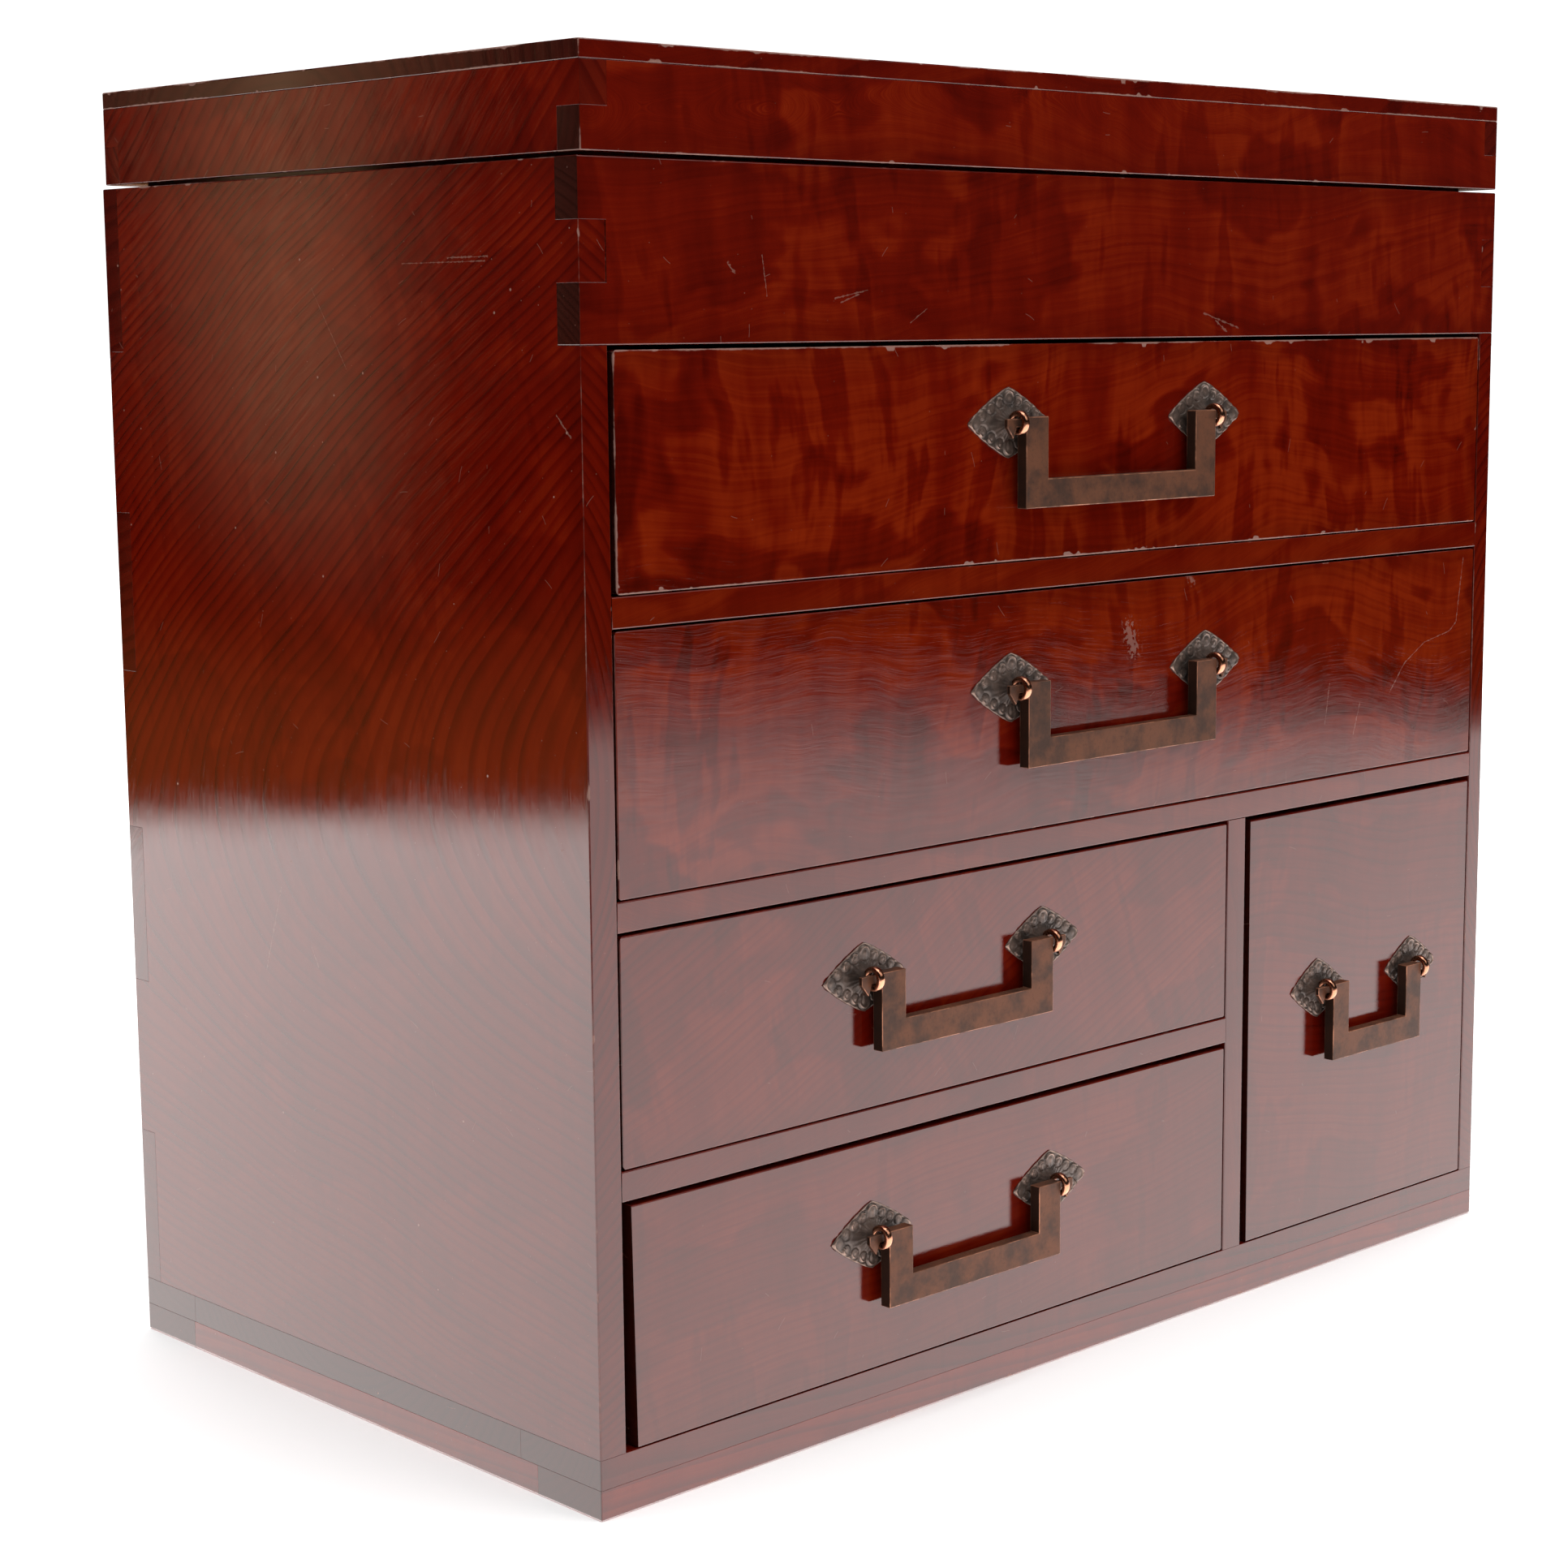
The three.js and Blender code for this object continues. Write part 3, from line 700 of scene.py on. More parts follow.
def bare_wood():
    wood = bpy.context.scene.cabinet_wood
    dark, light = Vector(wood.inner_dark), Vector(wood.inner_light)
    colours = [tuple(dark.lerp(light, share)) for share in (0.0, 0.45, 0.8, 1.0)]
    return wood_material(
        "bare_wood", colours, opaque(dark), opaque(light), gloss=0.62, relief=0.05 * MM, dust=0.8)


# Shares of a metal's dark colour in its grit, in the painted shade of its stamped grooves and in the
# painted shade on its sides
GRIT_DARK, GROOVE_SHADE, SIDE_SHADE = 0.5, 0.35, 0.25
GRIT_COVER, GROOVE_SHADE_COVER = 0.35, 0.9


def metal_material(name, dark, light, rubbed, metallic, roughness, mottle_scale, rub_and_highlight, relief, side_shade=0.0,
                   broken_share=0.4, **constants):
    """An old metal: mottled between dark and light, and rubbed bright along its edges and raised spots; on
    a backplate the bright crescents and rim are painted highlight and its grooves painted shade.
    """
    material, t = new_material(name)
    coordinates = t.tree.nodes.new("ShaderNodeTexCoord").outputs
    dark = Vector(dark)
    aged = effect(t, "patina", {"Position": coordinates["Object"], "Scale": mottle_scale})
    colour = t.mix(t.step(aged["Mottle"], 0.32, 0.66), opaque(dark), opaque(light))
    colour = t.mix(t.step(aged["Grit"], 0.52, 0.75, 0.0, GRIT_COVER), colour, opaque(dark * GRIT_DARK))
    # rub on the bails and eyes; on a backplate, painted highlight on its crescents and rim above zero and
    # painted shade in its grooves below zero
    raised = t.add("ShaderNodeAttribute", attribute_name="raised").outputs["Fac"]
    # painted shade in a backplate's stamped grooves
    grooves = t.times(raised, -GROOVE_SHADE_COVER, clamp=True)
    colour = t.mix(grooves, colour, opaque(dark * GROOVE_SHADE))
    # rub on the bails and eyes, and painted highlight on a backplate's crescents and rim
    broken = t.plus(t.times(aged["Broken"], broken_share), 1.0 - broken_share)
    bright = t.times(t.times(raised, rub_and_highlight, clamp=True), broken)
    # painted shade: faces that look along X are darkened towards the dark colour
    sideways = t.math("ABSOLUTE", t.parts(coordinates["Normal"])[0])
    colour = t.mix(t.step(sideways, 0.6, 0.95, 0.0, side_shade), colour, opaque(dark * SIDE_SHADE))
    colour = t.mix(bright, colour, opaque(rubbed))
    rough = t.plus(roughness, t.times(t.minus(aged["Grit"], 0.5), 0.30))
    rough = t.minus(rough, t.times(bright, 0.12))
    shine = t.plus(metallic, t.times(bright, 1.0 - metallic), clamp=True)
    height = t.plus(aged["Mottle"], t.times(aged["Grit"], 0.35))
    shader = surface(t, colour, rough, height, relief, **constants)
    t.feed(shader.inputs["Metallic"], shine)
    return material


def bronze_patina():
    handles = bpy.context.scene.cabinet_handles
    # painted shade on the sides of the bail's arms, which face along X
    return metal_material(
        "bronze_patina", handles.bronze_dark, handles.bronze, handles.copper, metallic=0.15, roughness=0.38,
        mottle_scale=120.0, rub_and_highlight=0.40, relief=0.05 * MM, side_shade=0.85, broken_share=1.0,
        Specular_IOR_Level=0.12)


def plate_copper():
    plate = Vector(bpy.context.scene.cabinet_handles.plate)
    return metal_material(
        # painted highlight: the rubbed colour is painted on the crescents and rim of the stamped relief
        "plate_copper", plate * 0.35, plate, rubbed=plate * 3.4, metallic=0.25, roughness=0.42,
        mottle_scale=210.0, rub_and_highlight=0.85, relief=0.08 * MM, Specular_IOR_Level=0.45)


def eye_copper():
    copper = Vector(bpy.context.scene.cabinet_handles.copper)
    return metal_material(
        "eye_copper", copper * 0.32, copper * 0.45, rubbed=copper, metallic=1.0, roughness=0.26,
        mottle_scale=300.0, rub_and_highlight=0.5, relief=0.03 * MM)


FINISH_MAKERS = {
    "red_lacquer": red_lacquer,
    **{f"red_lacquer_{board}": (lambda board=board: red_lacquer(board)) for board in SCRATCHES},
    "plinth_lacquer": plinth_lacquer,
    "bare_wood": bare_wood,
    "bronze_patina": bronze_patina,
    "plate_copper": plate_copper,
    "eye_copper": eye_copper,
}


def lacquer_of(node):
    """Name of the lacquer on a board: its own where it is scratched."""
    return f"red_lacquer_{node}" if node in SCRATCHES else "red_lacquer"


def finish_of(name):
    return bpy.data.materials.get(name) or FINISH_MAKERS[name]()


# ---- Making pieces ----


def add_piece(name, mesh, body, material, nodes):
    """Puts a mesh into the scene as a piece that rides on body and stands for the CAD nodes."""
    piece = bpy.data.objects.new(name, mesh)
    bpy.context.scene.collection.objects.link(piece)
    mesh.materials.append(finish_of(material))
    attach(piece, body)
    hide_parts(*nodes)
    return piece


def mesh_of(made, name, smooth=True):
    """The bmesh as a mesh with its faces pointing out. The bmesh is freed."""
    bmesh.ops.recalc_face_normals(made, faces=made.faces)
    mesh = bpy.data.meshes.new(name)
    made.to_mesh(mesh)
    made.free()
    if smooth:
        mesh.shade_smooth()
    return mesh


def whole_faces_of(node):
    """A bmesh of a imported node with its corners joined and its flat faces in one."""
    made = bmesh.new()
    made.from_mesh(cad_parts[node].data)
    bmesh.ops.remove_doubles(made, verts=made.verts, dist=WELD)
    bmesh.ops.dissolve_limit(made, angle_limit=math.radians(1), verts=made.verts, edges=made.edges)
    return made


def box_of(made):
    """Lowest and highest corner of a bmesh."""
    lows = Vector(min(v.co[axis] for v in made.verts) for axis in range(3))
    highs = Vector(max(v.co[axis] for v in made.verts) for axis in range(3))
    return lows, highs


def carry(mesh, name, value):
    """Gives every point of a mesh the same vector, for its material to read."""
    attribute = mesh.attributes.new(name, "FLOAT_VECTOR", "POINT")
    attribute.data.foreach_set("vector", list(value) * len(mesh.vertices))


class Figure(NamedTuple):
    """How a board was cut: pith in millimetres from the board's middle, and the way that it runs."""

    pith: tuple = (0, 30, -35)
    run: tuple = (1, 0, 0.02)
    taper: float = 0.04
    spacing: float = 3.4
    warp: float = 16
    curl: float = 1.2
    tone: float = 0.0
    wear: float = 0.4
    lines: float = 1.0
    clouds: float = 1.0
    streaks: float = 1.0
    end_dark: float = 0.92


def flat_faces(piece):
    """Keeps large faces optically flat, so that only the bevels between them turn the light."""
    weighted = piece.modifiers.new("flat faces", "WEIGHTED_NORMAL")
    weighted.weight = 100
    weighted.mode = "FACE_AREA"


def bevel_weights(made, sides, round_corners):
    """Marks each edge of a board as an open arris, a worn corner or a glued seam."""
    wood = bpy.context.scene.cabinet_wood
    low, high = box_of(made)
    corners = (low, high)
    open_planes = [(axis, corners[end][axis]) for axis, end in (SIDES[side] for side in sides)]

    def is_open(face):
        middle = face.calc_center_median()
        return any(abs(face.normal[axis]) > SQUARE and abs(middle[axis] - at) < 10 * WELD
                   for axis, at in open_planes)

    layer = made.edges.layers.float.new("bevel_weight_edge")
    for edge in made.edges:
        along_y = abs((edge.verts[0].co - edge.verts[1].co).normalized().y) > SQUARE
        both_open = len(edge.link_faces) == 2 and all(is_open(face) for face in edge.link_faces)
        width = wood.seam
        if both_open:
            width = wood.corner if round_corners and along_y else wood.arris
        edge[layer] = width / wood.corner
    return low, high


def add_board(name, made, body, material, nodes, ends, sides, figure, round_corners=False):
    """A board from a bmesh: bevelled edges, and the figure and wear that its material reads."""
    wood = bpy.context.scene.cabinet_wood
    low, high = bevel_weights(made, sides, round_corners)
    middle = (low + high) / 2
    mesh = mesh_of(made, name)
    reach = [[low[axis] - FAR for axis in range(3)], [high[axis] + FAR for axis in range(3)]]
    corners = (low, high)
    for side in sides:
        axis, end = SIDES[side]
        reach[end][axis] = corners[end][axis]
    carry(mesh, "open_low", reach[0])
    carry(mesh, "open_high", reach[1])
    carry(mesh, "ends", AXES[ends] * figure.end_dark)
    carry(mesh, "grain", (figure.lines, figure.clouds, figure.streaks))
    carry(mesh, "pith", middle + row(*figure.pith))
    carry(mesh, "run", Vector(figure.run).normalized())
    carry(mesh, "figure", (figure.taper, figure.spacing * MM, figure.warp * MM))
    carry(mesh, "finish", (figure.tone, figure.wear, figure.curl * MM))
    piece = add_piece(name, mesh, body, material, nodes)
    bevel = piece.modifiers.new("arris", "BEVEL")
    bevel.limit_method = "WEIGHT"
    bevel.width = wood.corner
    bevel.segments = 3
    bevel.use_clamp_overlap = True
    flat_faces(piece)
    return piece


def box_mesh(low, high):
    """A bmesh of one box between two corners."""
    made = bmesh.new()
    bmesh.ops.create_cube(made, size=1.0)
    for vertex in made.verts:
        vertex.co = Vector(low[axis] if vertex.co[axis] < 0 else high[axis] for axis in range(3))
    return made


# ---- Case, base and lid ----

ALL = tuple(SIDES)
SIDE_SIDES = ("left", "right", "front", "back", "top")
SHELF_SIDES = ("front", "top", "under")
STRAIGHT = {"lines": 0.20, "clouds": 1.5, "streaks": 0.9}  # the two long boards over the drawers

# Each board: the way its end grain faces, its open sides and its figure

CASE_BOARDS = {
    "side_left": ("Z", SIDE_SIDES, Figure(
        (-80, -108, 11), (0, -0.98, 0.19), 0.33, 2.5, 12, 0.6, 0.02, 0.45,
        lines=0.85, clouds=0.8, streaks=0.4)),
    "side_right": ("Z", SIDE_SIDES, Figure(
        (80, -90, -30), (0, -0.97, 0.24), 0.33, 2.7, 14, 0.6, 0.02, 0.45,
        lines=0.85, clouds=0.8, streaks=0.4)),
    "fascia_board": ("X", ("left", "right", "front", "top", "under"), Figure(
        (-60, 30, -40), (1, 0.02, 0.05), 0.03, 1.9, 22, 3.0, -0.01, 0.2, **STRAIGHT)),
    "back_board": ("X", ("left", "right", "back", "top"), Figure(
        (40, -30, -60), (1, 0, 0.04), 0.08, 5.0, 30, 1.2, -0.05, 0.3, lines=0.7, end_dark=0.3)),
}

SHELVES = {
    "tray_floor": ("X", ("top",), Figure((0, 0, -30), spacing=5.0, tone=-0.05)),
    "shelf_upper": ("X", SHELF_SIDES, Figure(
        (0, 20, -18), spacing=2.2, warp=4, tone=0.12, wear=0.2, lines=0.5)),
    "shelf_middle": ("X", SHELF_SIDES, Figure(
        (0, 24, 20), spacing=2.2, warp=5, tone=0.08, wear=0.15, lines=0.5)),
    "shelf_lower": ("X", SHELF_SIDES, Figure((0, 30, -20), spacing=2.4, warp=4, wear=0.15, lines=0.5)),
    "divider": ("Z", ("front", "left", "right"), Figure(
        (25, 20, 0), (0, 0, 1), spacing=2.2, warp=4, tone=0.02, wear=0.15, lines=0.5)),
}

BOTTOM_BOARDS = {
    "bottom_front": ("X", ("front", "left", "right"), Figure(
        (0, 18, 16), spacing=2.2, warp=4, tone=-0.08, end_dark=0.8)),
    "bottom_middle": ("X", ("left", "right"), Figure(
        (0, 0, 40), spacing=3.0, warp=6, tone=-0.08, end_dark=0.8)),
    "bottom_rear": ("X", ("back", "left", "right"), Figure(
        (0, -10, 30), spacing=3.0, warp=5, tone=-0.08, end_dark=0.8)),
}

LID_BOARDS = {
    "lid_top": ("X", ALL, Figure(
        (20, 25, -30), (1, 0.04, 0.02), 0.05, 4.6, 34, 1.6, 0.0, 1.0, lines=0.7, end_dark=0.75)),
    "lid_front": ("X", ("left", "right", "front", "under"), Figure(
        (-90, 24, 6), (1, 0.03, 0.04), 0.05, 2.2, 22, 2.4, -0.01, 0.7, **STRAIGHT)),
    "lid_rear": ("X", ("left", "right", "back", "under"), Figure(
        (0, -25, 20), warp=20, tone=-0.04, lines=0.7, end_dark=0.3)),
    "lid_left": ("Y", ("left", "front", "back", "under"), Figure(
        (-120, -80, -120), (0, -0.93, 0.36), 0.36, 3.6, 12, 1.0, 0.0, 0.35,
        lines=0.7, clouds=0.9, end_dark=0.3)),
    "lid_right": ("Y", ("right", "front", "back", "under"), Figure(
        (25, 0, -20), (0, 1, 0.1), lines=0.7, end_dark=0.3)),
}


def add_node_boards(boards, body):
    """Boards that keep the shape of their CAD nodes."""
    for node, (ends, sides, figure) in boards.items():
        add_board(node + "_board", whole_faces_of(node), body, lacquer_of(node),
                  [node], ends, sides, figure)


def add_plinth():
    """Four rails under the bottom: the front and rear ones run full width, the side ones between them."""
    low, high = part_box("plinth_frame")
    rail = min(v.co.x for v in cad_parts["plinth_frame"].data.vertices if v.co.x > low.x + WELD) - low.x
    front, back = low.y + rail, high.y - rail
    rails = {
        "plinth_front": ((low.x, low.y), (high.x, front), "X", ("front", "left", "right", "under")),
        "plinth_rear": ((low.x, back), (high.x, high.y), "X", ("back", "left", "right", "under")),
        "plinth_left": ((low.x, front), (low.x + rail, back), "Y", ("left", "under")),
        "plinth_right": ((high.x - rail, front), (high.x, back), "Y", ("right", "under")),
    }
    for name, (corner, opposite, ends, sides) in rails.items():
        made = box_mesh((*corner, low.z), (*opposite, high.z))
        run = tuple(AXES[ends])
        figure = Figure((12, 20, 24), run, 0.03, 2.4, 5, 0.8, 0.05, 0.6)
        add_board(name, made, "cabinet", "plinth_lacquer", ["plinth_frame"],
                  ends, sides, figure)


def rectangle_corners(low, high, z):
    """The four corners of a level rectangle, in order round it."""
    return [Vector((low[0], low[1], z)), Vector((high[0], low[1], z)),
            Vector((high[0], high[1], z)), Vector((low[0], high[1], z))]


def add_rim():
    """Four mitred strips inside the case that the lid drops over, thinner above the case's top."""
    low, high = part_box("lid_rim")
    points = [vertex.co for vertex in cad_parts["lid_rim"].data.vertices]
    upper = [point for point in points if point.z > high.z - WELD]
    outer_low = [min(point[axis] for point in upper) for axis in (0, 1)]
    outer_high = [max(point[axis] for point in upper) for axis in (0, 1)]
    middle = (low + high) / 2
    inner_low = [max(point[axis] for point in upper if point[axis] < middle[axis]) for axis in (0, 1)]
    inner_high = [min(point[axis] for point in upper if point[axis] > middle[axis]) for axis in (0, 1)]
    step = case_high.z
    loops = [
        rectangle_corners(low, high, low.z),
        rectangle_corners(low, high, step),
        rectangle_corners(outer_low, outer_high, step),
        rectangle_corners(outer_low, outer_high, high.z),
        rectangle_corners(inner_low, inner_high, high.z),
        rectangle_corners(inner_low, inner_high, low.z),
    ]
    for k, name in enumerate(("rim_front", "rim_right", "rim_rear", "rim_left")):
        made = bmesh.new()
        starts = [made.verts.new(loop[k]) for loop in loops]
        stops = [made.verts.new(loop[(k + 1) % 4]) for loop in loops]
        made.faces.new(starts)
        made.faces.new(reversed(stops))
        for j in range(len(loops)):
            after = (j + 1) % len(loops)
            made.faces.new((starts[j], stops[j], stops[after], starts[after]))
        bmesh.ops.recalc_face_normals(made, faces=made.faces)
        ends = "X" if k % 2 == 0 else "Y"
        figure = Figure((0, 20, -20), tuple(AXES[ends]), spacing=2.6, warp=5, tone=0.02)
        add_board(name, made, "cabinet", "red_lacquer", ["lid_rim"],
                  ends, ("top",), figure)


# ---- Drawers ----

DRAWER_FRONTS = {
    "top": Figure((-60, 16, -64), (1, -0.07, 0.03), 0.04, 2.4, 44, 6, -0.02, 1.0, 0.07, 2.1, 0.42),
    "second": Figure((-40, 18, -58), (1, -0.08, -0.05), 0.05, 2.6, 48, 6, -0.02, 0.35, 0.07, 2.1, 0.40),
    "third": Figure((70, 14, -80), (0.95, 0.06, 0.30), 0.16, 2.4, 20, 2.4, 0.0, 0.15, 0.40, 1.3, 1.0),
    "low": Figure((40, 18, -56), (1, 0.04, 0.05), 0.04, 2.2, 20, 2.4, 0.0, 0.18, 0.30, 1.3, 1.2),
    "tall": Figure((-10, 24, 90), (1, 0.06, -0.10), 0.05, 2.8, 24, 2.4, -0.02, 0.15, 0.40, 1.3, 1.0),
}


def add_drawer_front(drawer):
    node = f"{drawer}_drawer_front"
    add_board(node + "_board", whole_faces_of(node), f"{drawer}_drawer",
              lacquer_of(node), [node], "X", ("left", "right", "front", "top", "under"),
              DRAWER_FRONTS[drawer], round_corners=True)


def add_drawer_box(drawer):
    """Walls, back and bottom of one drawer, in bare wood."""
    panels = {"left": "Y", "right": "Y", "back": "X", "bottom": "X"}
    for count, (panel, ends) in enumerate(panels.items()):
        node = f"{drawer}_drawer_{panel}"
        pith = (12 * count - 20, 30 - 9 * count, -28 - 6 * count)
        figure = Figure(pith, tuple(AXES[ends] + Vector((0, 0.02, 0.04))), 0.04, 3.6, 8, 0.5, 0.0, 0.3)
        add_board(node + "_board", whole_faces_of(node), f"{drawer}_drawer", "bare_wood",
                  [node], ends, ("top",), figure)


# ---- Handles ----

PLATE_ROUND = 200  # points round a plate
PLATE_STEPS = 40  # rings of points from a plate's middle to its edge
PLATE_FULL = 1.6 * MM  # height of a plate's boss over the drawer front
PLATE_BEND = 1.14  # 1 is a sharp diamond and 2 an ellipse
SCALLOP, SCALLOPS = 0.012, 8  # depth of a scallop as a share of the plate, and half their number
BOSS, SPOKE_RING, SPOKES = 4.6 * MM, 5.5 * MM, 26
SPOKE_HEIGHT, DENT_HEIGHT, DENT_SIZE = 0.05 * MM, 0.035 * MM, 1.3 * MM
THINNEST = 0.15 * MM
EYE_ROUND, EYE_SECTION = 48, 18
EYE_SQUARENESS = 0.7  # 1 is a round section, and less is squarer
BAIL_EDGE = 0.28 * MM


def lobes_of(half_width, half_height):
    """Centre and radius of each lobe round a diamond plate, inside its plain border."""
    handles = bpy.context.scene.cabinet_handles
    corner, side, border = handles.corner_lobe, handles.side_lobe, handles.plate_border
    tip_x = half_width - corner - border
    tip_z = half_height - corner - border
    found = []
    for sign_x, sign_z in ((1, 1), (-1, 1), (-1, -1), (1, -1)):
        first, last = Vector((tip_x * sign_x, 0)), Vector((0, tip_z * sign_z))
        outward = Vector((sign_x * half_height, sign_z * half_width)).normalized()
        for k in range(handles.side_lobes):
            share = (k + 1) / (handles.side_lobes + 1)
            found.append((first.lerp(last, share) + outward * (corner - side), side))
        found.append((first if sign_x == sign_z else last, corner))
    return found


def edge_of(direction, half_width, half_height):
    """How far a plate reaches in a direction from its middle: a soft, scalloped diamond."""
    diamond = (abs(direction.x) / half_width) ** PLATE_BEND + (abs(direction.y) / half_height) ** PLATE_BEND
    turn = math.atan2(direction.y * half_width, direction.x * half_height)
    scallop = SCALLOP * abs(math.sin(SCALLOPS * turn))
    return (0.98 + scallop) / diamond ** (1 / PLATE_BEND)


def bell(value, middle, spread):
    """1 where value is at the middle, falling off evenly to both sides."""
    return math.exp(-((value - middle) / spread) ** 2)


def lobe_relief(point, lobes):
    """Stamped relief from 1 on the crescents to -1 in the grooves inside and between them."""
    relief = 0.0
    for centre, radius in lobes:
        away = point - centre
        distance = away.length / radius
        if distance > 1.6:
            continue
        facing = away.normalized().dot(centre.normalized()) if away.length > WELD else 0.0
        crescent = bell(distance, 0.80, 0.15) * max(0.0, 0.15 + 0.85 * facing)
        dome = 0.35 * bell(distance, 0.0, 0.40)
        groove = 0.8 * bell(distance, 1.10, 0.13)
        stamped = max(crescent, dome) - groove
        if abs(stamped) > abs(relief):
            relief = stamped
    return relief


def plate_height(point, relief, share):
    """Height of the plate over the drawer front. share is 0 at its middle and 1 at its edge."""
    handles = bpy.context.scene.cabinet_handles
    rise = PLATE_FULL - handles.plate_rim
    boss = max(0.0, 1.0 - point.length / BOSS)
    height = handles.plate_rim + rise * 0.35 * (1 - share) + handles.lobe_relief * relief
    height += rise * 0.8 * boss * boss * (3 - 2 * boss)
    spokes = math.sin(SPOKES * math.atan2(point.y, point.x)) * bell(point.length / SPOKE_RING, 1.0, 0.45)
    dent = noise.noise(Vector((point.x, point.y, PLATE_FULL)) / DENT_SIZE)
    return max(THINNEST, height + DENT_HEIGHT * dent + SPOKE_HEIGHT * spokes)


def add_plate(drawer, side):
    """A stamped diamond backplate with scalloped edges."""
    node = f"{drawer}_drawer_plate_{side}"
    low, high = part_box(node)
    middle = (low + high) / 2
    back = case_low.y
    half_width, half_height = (high.x - low.x) / 2, (high.z - low.z) / 2
    lobes = lobes_of(half_width, half_height)
    made = bmesh.new()
    painted_relief_light = [0.0]
    centre = made.verts.new((middle.x, back - plate_height(Vector((0, 0)), 0.0, 0.0), middle.z))
    rings = []
    for step in range(1, PLATE_STEPS + 1):
        share = step / PLATE_STEPS
        ring = []
        for k in range(PLATE_ROUND):
            angle = math.tau * k / PLATE_ROUND
            direction = Vector((math.cos(angle), math.sin(angle)))
            point = direction * edge_of(direction, half_width, half_height) * share
            relief = lobe_relief(point, lobes)
            proud = plate_height(point, relief, share)
            # painted highlight on the crescents, domes and rim, and painted shade in the grooves, for the
            # material to read
            painted_relief_light.append(max(relief, 0.9 * bell(share, 0.985, 0.02)))
            ring.append(made.verts.new((middle.x + point.x, back - proud, middle.z + point.y)))
        rings.append(ring)
    painted_relief_light += [0.0] * PLATE_ROUND
    rim = [made.verts.new((v.co.x, back, v.co.z)) for v in rings[-1]]
    for k in range(PLATE_ROUND):
        after = (k + 1) % PLATE_ROUND
        made.faces.new((centre, rings[0][k], rings[0][after]))
        for inner, outer in zip(rings, [*rings[1:], rim]):
            made.faces.new((inner[k], outer[k], outer[after], inner[after]))
    made.faces.new(rim)
    mesh = mesh_of(made, node)
    mesh.attributes.new("raised", "FLOAT", "POINT").data.foreach_set("value", painted_relief_light)
    return add_piece(f"{drawer}_drawer_backplate_{side}", mesh, f"{drawer}_drawer",
                     "plate_copper", [node])


def add_eye(drawer, side):
    """The copper strip bent round the pin, with its two ends driven in through the plate."""
    handles = bpy.context.scene.cabinet_handles
    node = f"{drawer}_drawer_plate_{side}"
    low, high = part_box(node)
    bail_low, bail_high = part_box(f"{drawer}_drawer_bail")
    pivot_y = (bail_low.y + bail_high.y) / 2
    outer = pivot_y - low.y
    middle = Vector(((low.x + high.x) / 2, pivot_y, (low.z + high.z) / 2))
    half_wall, half_width = (outer - handles.eye_hole) / 2, handles.eye_width / 2
    made = bmesh.new()
    rings, rubbed = [], []
    for i in range(EYE_ROUND):
        turn = math.tau * i / EYE_ROUND
        radial = Vector((0, math.cos(turn), math.sin(turn)))
        ring = []
        for j in range(EYE_SECTION):
            around = math.tau * j / EYE_SECTION
            swell = 1.0 + 0.03 * noise.noise(Vector((turn, around, middle.x * 50)))
            wide, deep = (
                math.copysign(abs(share) ** EYE_SQUARENESS, share) * half
                for share, half in ((math.cos(around), half_width), (math.sin(around), half_wall)))
            at = middle + radial * (handles.eye_hole + half_wall + deep * min(1.0, swell))
            ring.append(made.verts.new(at + Vector((wide, 0, 0))))
            rubbed.append(max(0.0, math.sin(around)))
        rings.append(ring)
    for i in range(EYE_ROUND):
        ring, following = rings[i], rings[(i + 1) % EYE_ROUND]
        for j in range(EYE_SECTION):
            after = (j + 1) % EYE_SECTION
            made.faces.new((ring[j], ring[after], following[after], following[j]))
    mesh = mesh_of(made, node + "_eye")
    mesh.attributes.new("raised", "FLOAT", "POINT").data.foreach_set("value", rubbed)
    return add_piece(f"{drawer}_drawer_eye_{side}", mesh, f"{drawer}_drawer", "eye_copper", [node])


def add_bail(drawer):
    """A flat bar bent square, with its pins hammered flat outside the eyes and its edges rubbed."""
    node = f"{drawer}_drawer_bail"
    made = whole_faces_of(node)
    rubbed = made.faces.layers.float.new("raised")
    sharp = [edge for edge in made.edges if edge.calc_face_angle(0.0) > math.radians(35)]
    bevelled = bmesh.ops.bevel(made, geom=sharp, offset=BAIL_EDGE, segments=2, profile=0.6, affect="EDGES",
                               clamp_overlap=True)
    for face in bevelled["faces"]:
        face[rubbed] = 1.0
    mesh = mesh_of(made, node)
    piece = add_piece(f"{drawer}_drawer_handle", mesh, f"{drawer}_bail", "bronze_patina", [node])
    flat_faces(piece)
    return piece


# ---- Stage ----


def add_stage_object(name, mesh, material):
    stage_object = bpy.data.objects.new(name, mesh)
    bpy.context.scene.collection.objects.link(stage_object)
    mesh.materials.append(material)
    return stage_object


SWEEP_EDGE = 0.01  # half the width over which the sweep's edge blurs
SWEEP_FALL = (1.36, 0.68)  # brightness at the sweep's left and right edges
FAR_FADE = 2.6  # where the dark floor fades out, counted in distances to the sweep's edge
UNLIT_SHINE = 0.12  # share of the shine left where the paper is not lit from above
PAPER_BOUNCE = (0.80, 0.78, 0.76, 1)
PAPER_TINT, DARK_FLOOR_TINT = (1.0, 0.93, 0.91, 1), (1.0, 0.34, 0.09, 1)
CARD_COLOUR, CARD_POWER = (1.0, 0.62, 0.34, 1), 1.25
CARD_PLACE, CARD_TURN = Vector((-1.50, 1.96, 0)), math.radians(56)
CARD_WIDTH, CARD_LOW, CARD_HIGH = 0.19, -0.05, 1.1
FLOOR_REACH, FLOOR_DROP = 30.0, 0.2 * MM
BEHIND_COLOUR, MIRRORED_ROOM = (1.2, 1.2, 1.2, 1), (0.020, 0.017, 0.016, 1)
OVERHEAD_POWER = 60.0


